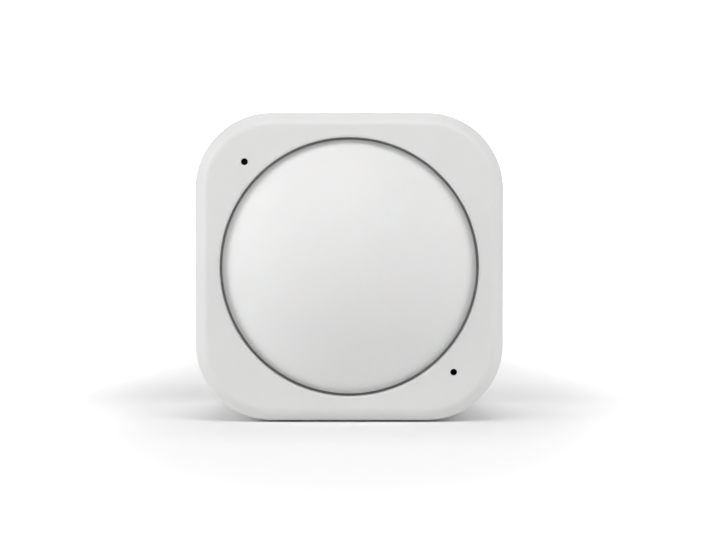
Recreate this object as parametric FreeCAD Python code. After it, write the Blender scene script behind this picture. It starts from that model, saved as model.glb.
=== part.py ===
import FreeCAD, Part
import math
import os

# Room multisensor: a rounded square housing with a large dome lens in front and a rear cover
# that lifts off for the cells. Millimetres. +Z is up, the front looks along -Y, +X is the
# viewer's right. The origin is the middle of the bottom of the whole object's box.
# A depth is a distance behind the flat front face. A height is measured from the centre line.

V = FreeCAD.Vector

# Lengths under this one count as nothing when edges are picked
FLAT = 0.001

# Outer form
BODY_SIZE = 44.0
BODY_DEPTH = 37.0
CORNER_RADIUS = 11.0
WALL = 2.0
BEVEL = 1.4

# Dome lens
DOME_RISE = 7.0
DOME_SINK = 1.5
LENS_MARGIN = 3.5
LENS_RIM_BEVEL = 0.3
LENS_GAP = 0.35
LENS_WALL = 1.2
LENS_FLANGE_WIDTH = 1.45
LENS_FLANGE_THICKNESS = 1.0
LENS_SKIRT_WALL = 1.25
LENS_RING_ANGLE = 14.0
LENS_RINGS = 3
LENS_FACETS_PER_RING = 6

# Pinholes in the front, one for the status light and one for air
PINHOLE_RADIUS = 0.45
PINHOLE_SIDE_MARGIN = 7.1
PINHOLE_TOP_MARGIN = 7.0
PINHOLE_SKIN = 1.0
PIPE_RADIUS = 1.0
PIPE_CLEARANCE = 0.1
PIPE_COLLAR_RADIUS = 1.5
PIPE_COLLAR_THICKNESS = 0.8
EAR_RADIUS = 2.2
EAR_WEB_WIDTH = 3.0
VENT_SEAL_RADIUS = 1.9
VENT_HOLE_RADIUS = 1.1
VENT_MEMBRANE_THICKNESS = 0.3
VENT_CLEARANCE = 0.2

# Lens carrier
CARRIER_THICKNESS = 1.6
POST_DEPTH_WIDTH = 2.2
POST_FACE_WIDTH = 2.0

# Main board and what stands on it
BOARD_DEPTH = 11.0
BOARD_THICKNESS = 1.2
BOARD_CLEARANCE = 0.7
BOARD_RIB_WIDTH = 1.2
BOARD_RIB_GAP = 0.2
LED_WIDTH = 2.0
LED_HEIGHT = 1.4
LED_THICKNESS = 0.8
CLIMATE_SIZE = 3.0
CLIMATE_THICKNESS = 0.9
LIGHT_SENSOR_SIZE = 2.0
LIGHT_SENSOR_THICKNESS = 0.7
LIGHT_SENSOR_X = -7.5
LIGHT_SENSOR_HEIGHT = 9.5
UV_SENSOR_SIZE = 2.4
UV_SENSOR_THICKNESS = 0.8
UV_SENSOR_X = 7.8
UV_SENSOR_HEIGHT = -8.6
VIBRATION_WIDTH = 4.0
VIBRATION_HEIGHT = 3.0
VIBRATION_THICKNESS = 2.6
VIBRATION_X = 9.6
SHIELD_POST_GAP = 1.0
SHIELD_CAN_GAP = 0.9
SHIELD_HEIGHT = 9.0
SHIELD_THICKNESS = 2.2
SHIELD_SHEET = 0.3
SHIELD_CORNER = 0.6
CHIP_SIZE = 7.0
CHIP_THICKNESS = 0.9
CHIP_X = -1.5
CHIP_HEIGHT = -11.2
CRYSTAL_WIDTH = 3.2
CRYSTAL_HEIGHT_SIZE = 2.5
CRYSTAL_THICKNESS = 0.8
CRYSTAL_X = -8.2
ANTENNA_LENGTH = 9.0
ANTENNA_WIDTH = 2.0
ANTENNA_THICKNESS = 1.2
ANTENNA_X = -6.2
ANTENNA_HEIGHT = 14.2
CAPACITOR_RADIUS = 2.0
CAPACITOR_LENGTH = 4.5
CAPACITOR_BOSS_DROP = 2.8
CAPACITOR_PITCH = 5.0
CAPACITOR_COUNT = 2

# Motion sensing element
PIR_SPACER_THICKNESS = 1.0
PIR_SPACER_RADIUS = 4.3
PIR_BASE_RADIUS = 4.6
PIR_BASE_THICKNESS = 0.5
PIR_CAN_RADIUS = 4.05
PIR_CAN_LENGTH = 3.7
PIR_CAN_SHEET = 0.4
PIR_WINDOW_WIDTH = 4.0
PIR_WINDOW_HEIGHT = 3.0
PIR_LEAD_RADIUS = 0.225
PIR_LEAD_CIRCLE = 2.54
PIR_LEAD_TAIL = 0.7
LEAD_HOLE_CLEARANCE = 0.075

# Supply inlet on the right side
USB_WIDTH = 7.5
USB_THICKNESS = 2.6
USB_LENGTH = 5.6
USB_SHEET = 0.3
USB_HEIGHT = -5.2
USB_TONGUE_THICKNESS = 0.6
USB_TONGUE_WIDTH = 5.4
USB_WALL_GAP = 0.2
USB_OPENING_CLEARANCE = 0.3
FLAP_LENGTH = 10.2
FLAP_WIDTH = 4.6
FLAP_THICKNESS = 1.1
FLAP_INSET = 0.05
FLAP_GAP = 0.1
FLAP_CORNER = 1.2
FLAP_PLUG_LENGTH = 0.75
FLAP_HINGE_INSET = 0.65
FLAP_PIN_RADIUS = 0.3
FLAP_PIN_LENGTH = 0.5
FLAP_PIN_CLEARANCE = 0.08
FLAP_HINGE_ROUND = 0.6

# Action button on the right side
BUTTON_RADIUS = 2.0
BUTTON_CLEARANCE = 0.1
BUTTON_INSET = 0.1
BUTTON_HEIGHT = 6.0
BUTTON_EDGE_BEVEL = 0.3
BUTTON_TRAVEL = 0.4
BUTTON_FLANGE_RADIUS = 2.6
BUTTON_FLANGE_THICKNESS = 0.7
BUTTON_STEM_RADIUS = 1.2
BUTTON_STEM_LENGTH = 0.6
SWITCH_SIZE = 6.0
SWITCH_LENGTH = 3.6
SWITCH_CLEARANCE = 0.3
PLUNGER_RADIUS = 0.9
PLUNGER_REACH = 1.3
PLUNGER_CLEARANCE = 0.06

# Screw bosses
BOSS_MARGIN = 6.8
BOSS_RADIUS = 2.3
BOSS_CLEARANCE = 0.3
BOSS_WEB = 1.2
SCREW_RADIUS = 1.0
SCREW_CLEARANCE = 0.05
SCREW_LENGTH = 7.0
SCREW_HEAD_RADIUS = 1.9
SCREW_HEAD_THICKNESS = 1.2
SCREW_RECESS_WIDTH = 0.5
SCREW_RECESS_DEPTH = 0.5
SCREW_RECESS_LENGTH = 2.4

# Battery tray and cells
TRAY_STANDOFF = 1.4
TRAY_FLOOR = 1.4
TRAY_CLEARANCE = 0.4
TRAY_END_WALL = 1.0
TRAY_SIDE_WALL = 1.3
TRAY_WALL_LENGTH = 16.0
TRAY_SIDE_HALF = 9.0
CRADLE_THICKNESS = 1.6
CRADLE_RISE = 4.5
CRADLE_SPACING = 11.0
CELL_SIDE_ROOM = 2.9
CELL_NUB_LENGTH = 1.1
CELL_NUB_RADIUS = 3.0
CELL_EDGE_BEVEL = 0.6
SLEEVE_THICKNESS = 0.15
CELL_SPACING = 0.2
CELL_CLEARANCE = 0.1
CRADLE_CLEARANCE = 0.2
CONTACT_THICKNESS = 0.3
CONTACT_SIZE = 10.0
TAIL_WIDTH = 1.8
TAIL_CLEARANCE = 0.1
SPRING_WIRE_RADIUS = 0.25
SPRING_WIRE_SIDES = 6
SPRING_BASE_RADIUS = 4.2
SPRING_TIP_RADIUS = 2.2
SPRING_TURNS = 2.0
SPRING_ROOM = 2.1
SPRING_SEAT_GAP = 0.05
SPRING_LEAST_GAP = 0.4

# Seam and rear cover
SEAM_DEPTH = 24.5
SEAM_GAP = 0.2
TONGUE_LENGTH = 1.5
TONGUE_CLEARANCE = 0.1
INSERT_RADIUS = 4.0
INSERT_BORE_RADIUS = 2.6
INSERT_LENGTH = 4.6
INSERT_SINK = 0.1
INSERT_CLEARANCE = 0.02
INSERT_FLOOR = 0.6
INSERT_BOSS_WALL = 1.18
COVER_RIB_WIDTH = 1.2
COVER_RIB_RISE = 1.8
FOAM_LENGTH = 20.0
FOAM_GAP = 0.3
FOAM_BOSS_GAP = 0.42
FOAM_RAIL_GAP = 0.6

# Lock slider on the back
LOCK_PAD_LENGTH = 6.0
LOCK_PAD_WIDTH = 3.0
LOCK_PAD_SINK = 0.3
LOCK_TRAVEL = 3.0
LOCK_CLEARANCE = 0.1
LOCK_PLATE_WIDTH = 5.0
LOCK_PLATE_THICKNESS = 1.0
LOCK_PLATE_OVERLAP = 0.5
LOCK_ARM_WIDTH = 2.4
LOCK_ARM_THICKNESS = 0.8
LOCK_ARM_X = -0.8
LOCK_FOOT_LENGTH = 2.4
LOCK_FOOT_THICKNESS = 1.0
LOCK_TOOTH_THICKNESS = 1.0
LOCK_TOOTH_GAP = 0.2
LOCK_RAIL = 0.8
LOCK_RAIL_LIP = 0.5
LOCK_GRIP_COUNT = 3
LOCK_GRIP_PITCH = 1.4
LOCK_GRIP_WIDTH = 0.5
LOCK_GRIP_DEPTH = 0.3

# Values that follow from the ones above
HALF = BODY_SIZE / 2
CENTRE_Z = HALF
FRONT_Y = DOME_RISE - (BODY_DEPTH + DOME_RISE) / 2
CAVITY_HALF = HALF - WALL
CAVITY_RADIUS = CORNER_RADIUS - WALL
REAR_WALL_DEPTH = BODY_DEPTH - WALL
LENS_OPENING_RADIUS = HALF - LENS_MARGIN
PINHOLE_OFFSET_X = HALF - PINHOLE_SIDE_MARGIN
PINHOLE_OFFSET_HEIGHT = HALF - PINHOLE_TOP_MARGIN
BOSS_OFFSET = HALF - BOSS_MARGIN
LENS_RADIUS = LENS_OPENING_RADIUS - LENS_GAP
LENS_FLANGE_RADIUS = LENS_RADIUS + LENS_FLANGE_WIDTH
LENS_INNER_RADIUS = LENS_RADIUS - LENS_SKIRT_WALL
LENS_FLANGE_BACK = WALL + LENS_FLANGE_THICKNESS
CARRIER_BACK = LENS_FLANGE_BACK + CARRIER_THICKNESS
BOARD_HALF = CAVITY_HALF - BOARD_CLEARANCE
BOARD_RADIUS = CAVITY_RADIUS - BOARD_CLEARANCE
BOARD_RIB_OFFSET = HALF - CORNER_RADIUS - BOARD_RIB_WIDTH / 2
BOARD_BACK = BOARD_DEPTH + BOARD_THICKNESS
POST_CENTRE = BOARD_HALF - POST_DEPTH_WIDTH / 2
SHIELD_LEFT = POST_DEPTH_WIDTH + SHIELD_POST_GAP - BOARD_HALF
SHIELD_WIDTH = -PIR_BASE_RADIUS - SHIELD_CAN_GAP - SHIELD_LEFT
SHIELD_X = SHIELD_LEFT + SHIELD_WIDTH / 2
CAPACITOR_HEIGHT = BOSS_OFFSET - CAPACITOR_BOSS_DROP
BUTTON_DEPTH = BOARD_DEPTH - SWITCH_SIZE / 2
TRAY_FRONT = BOARD_BACK + TRAY_STANDOFF
TRAY_BACK = TRAY_FRONT + TRAY_FLOOR
TRAY_HALF = CAVITY_HALF - TRAY_CLEARANCE
TRAY_RADIUS = CAVITY_RADIUS - TRAY_CLEARANCE
TRAY_INNER = TRAY_HALF - TRAY_END_WALL
CELL_RADIUS = (CAVITY_HALF - CELL_SIDE_ROOM - CELL_SPACING / 2) / 2
CELL_DEPTH = TRAY_BACK + CELL_CLEARANCE + CELL_RADIUS
CELL_HEIGHT = CELL_RADIUS + CELL_SPACING / 2
CELL_TOP = CELL_HEIGHT + CELL_RADIUS
CONTACT_X = TRAY_INNER - CONTACT_THICKNESS
CELL_BODY_LENGTH = 2 * CONTACT_X - SPRING_ROOM - CELL_NUB_LENGTH
FLAP_HINGE_X = HALF - FLAP_HINGE_INSET
FLAP_OUTER_X = HALF - FLAP_INSET
FLAP_INNER_X = FLAP_OUTER_X - FLAP_THICKNESS
FLAP_TOP_HEIGHT = USB_HEIGHT + FLAP_LENGTH / 2 - FLAP_GAP
FLAP_BOTTOM_HEIGHT = FLAP_TOP_HEIGHT - FLAP_LENGTH
FLAP_HINGE_HEIGHT = FLAP_TOP_HEIGHT - FLAP_HINGE_ROUND
USB_DEPTH = BOARD_DEPTH - USB_THICKNESS / 2
LOCK_PAD_X = -LOCK_TRAVEL / 2
CATCH_HEIGHT = CELL_TOP + CELL_SPACING
LOCK_HEIGHT = CATCH_HEIGHT + LOCK_ARM_THICKNESS - LOCK_PLATE_WIDTH / 2
LOCK_RAIL_BOTTOM = LOCK_HEIGHT - LOCK_PLATE_WIDTH / 2 - LOCK_CLEARANCE - LOCK_RAIL


def y_at(depth):
    """Place along Y of a depth behind the front face."""
    return FRONT_Y + depth


def rounded_outline(width, height, radius, x, up, depth):
    """Closed outline of a rectangle with round corners, seen from the front."""
    corners = []
    for side_x, side_z in ((1, -1), (1, 1), (-1, 1), (-1, -1)):
        corner_x = x + side_x * (width / 2 - radius)
        corner_z = CENTRE_Z + up + side_z * (height / 2 - radius)
        corners.append((corner_x, corner_z))
    y = y_at(depth)
    edges = []
    for index, (corner_x, corner_z) in enumerate(corners):
        angles = [math.radians(-90 + 90 * index + step) for step in (0, 45, 90)]
        bend = [
            V(corner_x + radius * math.cos(a), y, corner_z + radius * math.sin(a))
            for a in angles
        ]
        edges.append(Part.Arc(*bend).toShape())
        next_x, next_z = corners[(index + 1) % 4]
        start_angle = angles[-1]
        end = V(
            next_x + radius * math.cos(start_angle),
            y,
            next_z + radius * math.sin(start_angle),
        )
        if bend[-1].distanceToPoint(end) > FLAT:
            edges.append(Part.LineSegment(bend[-1], end).toShape())
    return Part.Wire(Part.__sortEdges__(edges))


def slab(width, height, radius, x, up, front, back):
    """Solid with a rounded rectangular face, from one depth to another."""
    face = Part.Face(rounded_outline(width, height, radius, x, up, front))
    return face.extrude(V(0, back - front, 0))


def square_slab(half, radius, front, back):
    """Rounded square solid on the centre line."""
    return slab(2 * half, 2 * half, radius, 0, 0, front, back)


def block(x_from, x_to, up_from, up_to, front, back):
    """Straight-edged solid between two places on each axis."""
    corner = V(x_from, y_at(front), CENTRE_Z + up_from)
    return Part.makeBox(x_to - x_from, back - front, up_to - up_from, corner)


def rod(radius, x, up, front, back):
    """Round solid along the depth."""
    return Part.makeCylinder(
        radius, back - front, V(x, y_at(front), CENTRE_Z + up), V(0, 1, 0)
    )


def cross_rod(radius, x_from, x_to, up, depth):
    """Round solid along the width."""
    return Part.makeCylinder(
        radius, x_to - x_from, V(x_from, y_at(depth), CENTRE_Z + up), V(1, 0, 0)
    )


def edges_at_depth(shape, depth):
    """Edges that lie wholly in the plane at one depth."""
    y = y_at(depth)
    return [
        e for e in shape.Edges
        if abs(e.BoundBox.YMin - y) < FLAT and abs(e.BoundBox.YMax - y) < FLAT
    ]


def bevelled(shape, face_depth):
    """Bevel the outer edge of a flat end all the way round."""
    return shape.makeChamfer(BEVEL, edges_at_depth(shape, face_depth))


def boss_places():
    """Upper right and lower left corners, where the tray is screwed down."""
    return ((BOSS_OFFSET, BOSS_OFFSET), (-BOSS_OFFSET, -BOSS_OFFSET))


def boss_relief(front, back):
    """Room round both bosses, cut from what lies beside them."""
    reliefs = [rod(BOSS_RADIUS + BOSS_CLEARANCE, x, up, front, back) for x, up in boss_places()]
    return reliefs[0].fuse(reliefs[1])


def make_boss(x, up):
    """Screw boss tied into the corner of the housing by a web."""
    boss = rod(BOSS_RADIUS, x, up, WALL, TRAY_FRONT)
    reach = CORNER_RADIUS
    web = Part.makeBox(reach, TRAY_FRONT - WALL, BOSS_WEB, V(0, y_at(WALL), -BOSS_WEB / 2))
    angle = -45 if x > 0 else 135
    web.rotate(V(0, 0, 0), V(0, 1, 0), angle)
    web.translate(V(x, 0, CENTRE_Z + up))
    return boss.fuse(web)


def make_board_ribs():
    """Two low ribs on each side wall, which centre the board."""
    ribs = []
    inner = BOARD_HALF + BOARD_RIB_GAP
    for along in (-BOARD_RIB_OFFSET, BOARD_RIB_OFFSET):
        low, high = along - BOARD_RIB_WIDTH / 2, along + BOARD_RIB_WIDTH / 2
        for side in (-1, 1):
            span = sorted((side * inner, side * (HALF - WALL / 2)))
            ribs.append(block(*span, low, high, WALL, BOARD_BACK))
            ribs.append(block(low, high, *span, WALL, BOARD_BACK))
    return ribs


def flap_recess():
    """Pocket in the right wall for the soft flap, with its hinge holes."""
    half_width = FLAP_WIDTH / 2 + FLAP_GAP
    recess = block(
        FLAP_INNER_X - FLAP_GAP, HALF + WALL,
        FLAP_BOTTOM_HEIGHT - FLAP_GAP, FLAP_TOP_HEIGHT + FLAP_GAP,
        USB_DEPTH - half_width, USB_DEPTH + half_width,
    )
    relief = Part.makeCylinder(
        FLAP_HINGE_ROUND + FLAP_GAP, 2 * half_width,
        V(FLAP_HINGE_X, y_at(USB_DEPTH - half_width), CENTRE_Z + FLAP_HINGE_HEIGHT), V(0, 1, 0),
    )
    pin_reach = FLAP_WIDTH / 2 + FLAP_PIN_LENGTH + FLAP_GAP
    pins = Part.makeCylinder(
        FLAP_PIN_RADIUS + FLAP_PIN_CLEARANCE, 2 * pin_reach,
        V(FLAP_HINGE_X, y_at(USB_DEPTH - pin_reach), CENTRE_Z + FLAP_HINGE_HEIGHT), V(0, 1, 0),
    )
    return recess.fuse([relief, pins])


def usb_opening():
    """Hole through the wall in front of the supply inlet."""
    half_width = USB_WIDTH / 2 + USB_OPENING_CLEARANCE
    half_thickness = USB_THICKNESS / 2 + USB_OPENING_CLEARANCE
    return block(
        CAVITY_HALF - WALL, HALF, USB_HEIGHT - half_width, USB_HEIGHT + half_width,
        USB_DEPTH - half_thickness, USB_DEPTH + half_thickness,
    )


def pinhole_places():
    """Status light upper left, air port lower right."""
    return (
        (-PINHOLE_OFFSET_X, PINHOLE_OFFSET_HEIGHT),
        (PINHOLE_OFFSET_X, -PINHOLE_OFFSET_HEIGHT),
    )


def make_front_housing():
    """Front shell, moulded in one with its bosses, webs and seam tongue."""
    shell = bevelled(square_slab(HALF, CORNER_RADIUS, 0, SEAM_DEPTH), 0)
    shell = shell.cut(square_slab(CAVITY_HALF, CAVITY_RADIUS, WALL, SEAM_DEPTH))
    tongue_half = HALF - WALL / 2 - TONGUE_CLEARANCE
    tongue_end = SEAM_DEPTH + TONGUE_LENGTH
    tongue = square_slab(tongue_half, tongue_half - HALF + CORNER_RADIUS, SEAM_DEPTH, tongue_end)
    tongue = tongue.cut(square_slab(CAVITY_HALF, CAVITY_RADIUS, SEAM_DEPTH, tongue_end))
    bosses = [make_boss(x, up) for x, up in boss_places()]
    envelope = square_slab(HALF - WALL / 2, CORNER_RADIUS - WALL / 2, WALL / 2, SEAM_DEPTH)
    bosses = [boss.common(envelope) for boss in bosses]
    shell = shell.fuse([tongue] + bosses + make_board_ribs()).removeSplitter()
    shell = shell.cut(rod(LENS_OPENING_RADIUS, 0, 0, 0, WALL))
    rim = [
        e for e in edges_at_depth(shell, 0)
        if abs(e.BoundBox.XLength - 2 * LENS_OPENING_RADIUS) < FLAT
    ]
    shell = shell.makeChamfer(LENS_RIM_BEVEL, rim)
    cuts = [flap_recess(), usb_opening()]
    cuts.append(cross_rod(
        BUTTON_RADIUS + BUTTON_CLEARANCE, CAVITY_HALF - WALL, HALF + WALL,
        BUTTON_HEIGHT, BUTTON_DEPTH,
    ))
    for x, up in boss_places():
        cuts.append(rod(
            SCREW_RADIUS + SCREW_CLEARANCE, x, up,
            TRAY_BACK - SCREW_LENGTH - BOSS_CLEARANCE, TRAY_FRONT,
        ))
    for x, up in pinhole_places():
        cuts.append(rod(PINHOLE_RADIUS, x, up, 0, WALL))
        cuts.append(rod(PIPE_RADIUS + PIPE_CLEARANCE, x, up, PINHOLE_SKIN, WALL))
    return shell.cut(cuts)


def lens_centre_depth():
    """Depth of the centre of the dome's sphere, and its radius."""
    rise = DOME_RISE + DOME_SINK
    radius = (LENS_RADIUS ** 2 + rise ** 2) / (2 * rise)
    return radius - DOME_RISE, radius


def facet_directions():
    """Pointing directions of the lens segments, in rings about the axis."""
    directions = [V(0, -1, 0)]
    for ring in range(1, LENS_RINGS + 1):
        tilt = math.radians(LENS_RING_ANGLE * ring)
        count = LENS_FACETS_PER_RING * ring
        for index in range(count):
            turn = 2 * math.pi * (index + 0.5 * (ring % 2)) / count
            directions.append(V(
                math.sin(tilt) * math.cos(turn), -math.cos(tilt),
                math.sin(tilt) * math.sin(turn),
            ))
    return directions


def make_lens_hollow():
    """Inside of the dome: one flat segment for each direction that it watches."""
    centre_depth, sphere_radius = lens_centre_depth()
    hollow = rod(LENS_INNER_RADIUS, 0, 0, -DOME_RISE, LENS_FLANGE_BACK)
    centre = V(0, y_at(centre_depth), CENTRE_Z)
    reach = sphere_radius * 2
    for direction in facet_directions():
        outer = Part.makeBox(2 * reach, 2 * reach, reach, V(-reach, -reach, 0))
        outer.Placement = FreeCAD.Placement(
            centre + direction * (sphere_radius - LENS_WALL),
            FreeCAD.Rotation(V(0, 0, 1), direction),
        )
        hollow = hollow.cut(outer)
    return hollow


def make_fresnel_dome():
    """Dome lens: smooth outside, segmented inside, flange keyed round bosses and vent."""
    centre_depth, sphere_radius = lens_centre_depth()
    ball = Part.makeSphere(sphere_radius, V(0, y_at(centre_depth), CENTRE_Z))
    dome = rod(LENS_RADIUS, 0, 0, -2 * DOME_RISE, LENS_FLANGE_BACK).common(ball)
    flange = rod(LENS_FLANGE_RADIUS, 0, 0, WALL, LENS_FLANGE_BACK)
    solid = dome.fuse(flange).removeSplitter()
    vent_x, vent_up = pinhole_places()[1]
    vent = rod(VENT_SEAL_RADIUS + VENT_CLEARANCE, vent_x, vent_up, WALL, LENS_FLANGE_BACK)
    return solid.cut([make_lens_hollow(), boss_relief(WALL, LENS_FLANGE_BACK), vent])


def post_places():
    """Right, left, top and bottom, with the width of the post across X and Z."""
    return (
        (POST_CENTRE, 0, POST_DEPTH_WIDTH, POST_FACE_WIDTH),
        (-POST_CENTRE, 0, POST_DEPTH_WIDTH, POST_FACE_WIDTH),
        (0, POST_CENTRE, POST_FACE_WIDTH, POST_DEPTH_WIDTH),
        (0, -POST_CENTRE, POST_FACE_WIDTH, POST_DEPTH_WIDTH),
    )


def posts(front, back):
    """The four posts that carry load from the tray to the lens flange."""
    return [
        block(x - w / 2, x + w / 2, up - h / 2, up + h / 2, front, back)
        for x, up, w, h in post_places()
    ]


def make_ear(x, up):
    """Round ear of the lens carrier behind a pinhole, on a web from the ring."""
    ear = rod(EAR_RADIUS, x, up, LENS_FLANGE_BACK, CARRIER_BACK)
    half = EAR_WEB_WIDTH / 2
    web = block(0, math.hypot(x, up), -half, half, LENS_FLANGE_BACK, CARRIER_BACK)
    angle = math.degrees(math.atan2(up, x))
    web.rotate(V(0, 0, CENTRE_Z), V(0, 1, 0), -angle)
    return ear.fuse(web)


def switch_relief():
    """Room round the button's switch, cut from the carrier where the switch reaches it."""
    outer = plunger_places()[1] + SWITCH_CLEARANCE
    half = SWITCH_SIZE / 2 + SWITCH_CLEARANCE
    return block(
        outer - SWITCH_LENGTH - 2 * SWITCH_CLEARANCE, outer,
        BUTTON_HEIGHT - half, BUTTON_HEIGHT + half, BUTTON_DEPTH - half, BOARD_DEPTH,
    )


def make_lens_carrier():
    """Ring behind the lens flange with four posts and two ears."""
    ring = rod(LENS_FLANGE_RADIUS, 0, 0, LENS_FLANGE_BACK, CARRIER_BACK)
    ears = [make_ear(x, up) for x, up in pinhole_places()]
    carrier = ring.fuse(ears)
    carrier = carrier.cut(rod(LENS_INNER_RADIUS, 0, 0, LENS_FLANGE_BACK, CARRIER_BACK))
    carrier = carrier.fuse(posts(LENS_FLANGE_BACK, BOARD_DEPTH))
    (pipe_x, pipe_up), (vent_x, vent_up) = pinhole_places()
    carrier = carrier.cut([
        switch_relief(),
        boss_relief(LENS_FLANGE_BACK, CARRIER_BACK),
        rod(PIPE_RADIUS + PIPE_CLEARANCE, pipe_x, pipe_up, LENS_FLANGE_BACK, CARRIER_BACK),
        rod(VENT_HOLE_RADIUS, vent_x, vent_up, LENS_FLANGE_BACK, CARRIER_BACK),
    ])
    return carrier.removeSplitter()


def make_light_pipe():
    """Clear rod from the status light to the upper left pinhole, stopped by a collar."""
    x, up = pinhole_places()[0]
    end = BOARD_DEPTH - LED_THICKNESS - PIPE_CLEARANCE
    pipe = rod(PIPE_RADIUS, x, up, PINHOLE_SKIN + PIPE_CLEARANCE, end)
    collar = rod(PIPE_COLLAR_RADIUS, x, up, CARRIER_BACK, CARRIER_BACK + PIPE_COLLAR_THICKNESS)
    return pipe.fuse(collar)


def make_vent_gasket():
    """Foam ring between the front wall and the membrane."""
    x, up = pinhole_places()[1]
    back = LENS_FLANGE_BACK - VENT_MEMBRANE_THICKNESS
    return rod(VENT_SEAL_RADIUS, x, up, WALL, back).cut(rod(VENT_HOLE_RADIUS, x, up, WALL, back))


def make_vent_membrane():
    """Thin breathing disc on the ear of the carrier."""
    x, up = pinhole_places()[1]
    return rod(VENT_SEAL_RADIUS, x, up, LENS_FLANGE_BACK - VENT_MEMBRANE_THICKNESS, LENS_FLANGE_BACK)


def lead_places():
    """Three leads of the motion element on their circle."""
    return [
        (PIR_LEAD_CIRCLE * math.cos(a), PIR_LEAD_CIRCLE * math.sin(a))
        for a in (math.radians(90 * index) for index in range(3))
    ]


def lead_holes(front, back):
    """Holes that the leads pass through."""
    return [rod(PIR_LEAD_RADIUS + LEAD_HOLE_CLEARANCE, x, up, front, back) for x, up in lead_places()]


def make_main_board():
    """Circuit board, cut away round the bosses and drilled for the leads."""
    board = square_slab(BOARD_HALF, BOARD_RADIUS, BOARD_DEPTH, BOARD_BACK)
    board = board.cut(boss_relief(BOARD_DEPTH, BOARD_BACK))
    board = board.cut(lead_holes(BOARD_DEPTH, BOARD_BACK))
    return max(board.Solids, key=lambda solid: solid.Volume)


def on_board(width, height, thickness, x, up):
    """Component standing on the front of the board."""
    return block(
        x - width / 2, x + width / 2, up - height / 2, up + height / 2,
        BOARD_DEPTH - thickness, BOARD_DEPTH,
    )


def make_radio_shield():
    """Deep-drawn metal can over the radio, open towards the board."""
    front = BOARD_DEPTH - SHIELD_THICKNESS
    can = slab(SHIELD_WIDTH, SHIELD_HEIGHT, SHIELD_CORNER, SHIELD_X, 0, front, BOARD_DEPTH)
    inner = slab(
        SHIELD_WIDTH - 2 * SHIELD_SHEET, SHIELD_HEIGHT - 2 * SHIELD_SHEET,
        SHIELD_CORNER - SHIELD_SHEET, SHIELD_X, 0, front + SHIELD_SHEET, BOARD_DEPTH,
    )
    return can.cut(inner)


def make_capacitors():
    """Round supply capacitors in a row beside the upper right boss."""
    front = BOARD_DEPTH - CAPACITOR_LENGTH
    places = [BOSS_OFFSET - CAPACITOR_PITCH * (index + 1) for index in range(CAPACITOR_COUNT)]
    return [rod(CAPACITOR_RADIUS, x, CAPACITOR_HEIGHT, front, BOARD_DEPTH) for x in places]


def pir_depths():
    """Depths of the front of the can, of its base flange and of the spacer."""
    spacer = BOARD_DEPTH - PIR_SPACER_THICKNESS
    base = spacer - PIR_BASE_THICKNESS
    return base - PIR_CAN_LENGTH, base, spacer


def make_pir_can():
    """Metal can of the motion element with its base flange and window hole."""
    front, base, spacer = pir_depths()
    can = rod(PIR_CAN_RADIUS, 0, 0, front, base).fuse(rod(PIR_BASE_RADIUS, 0, 0, base, spacer))
    hollow = rod(PIR_CAN_RADIUS - PIR_CAN_SHEET, 0, 0, front + PIR_CAN_SHEET, base)
    return can.cut([hollow, pir_window_block()])


def pir_window_block():
    """Filter window in the front of the can."""
    front = pir_depths()[0]
    half_width, half_height = PIR_WINDOW_WIDTH / 2, PIR_WINDOW_HEIGHT / 2
    return block(-half_width, half_width, -half_height, half_height, front, front + PIR_CAN_SHEET)


def make_pir_leads():
    """Three leads from the base flange through the spacer and the board."""
    spacer = pir_depths()[2]
    return [rod(PIR_LEAD_RADIUS, x, up, spacer, BOARD_BACK + PIR_LEAD_TAIL) for x, up in lead_places()]


def make_pir_spacer():
    """Insulating disc under the can."""
    spacer = pir_depths()[2]
    return rod(PIR_SPACER_RADIUS, 0, 0, spacer, BOARD_DEPTH).cut(lead_holes(spacer, BOARD_DEPTH))


def usb_block(x_from, x_to, width, thickness):
    """Straight solid on the middle line of the supply inlet."""
    return block(
        x_from, x_to, USB_HEIGHT - width / 2, USB_HEIGHT + width / 2,
        USB_DEPTH - thickness / 2, USB_DEPTH + thickness / 2,
    )


def make_usb_socket():
    """Folded metal shell of the inlet, open towards the wall."""
    mouth = CAVITY_HALF - USB_WALL_GAP
    shell = usb_block(mouth - USB_LENGTH, mouth, USB_WIDTH, USB_THICKNESS)
    edges = [e for e in shell.Edges if e.BoundBox.XLength > USB_LENGTH / 2]
    shell = shell.makeFillet(USB_SHEET * 2, edges)
    inner = usb_block(
        mouth - USB_LENGTH + USB_SHEET, mouth,
        USB_WIDTH - 2 * USB_SHEET, USB_THICKNESS - 2 * USB_SHEET,
    )
    return shell.cut(inner)


def make_usb_tongue():
    """Plastic tongue with the contacts, held at the back of the shell."""
    mouth = CAVITY_HALF - USB_WALL_GAP
    start = mouth - USB_LENGTH + USB_SHEET
    return usb_block(start, mouth - USB_SHEET * 2, USB_TONGUE_WIDTH, USB_TONGUE_THICKNESS)


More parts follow.
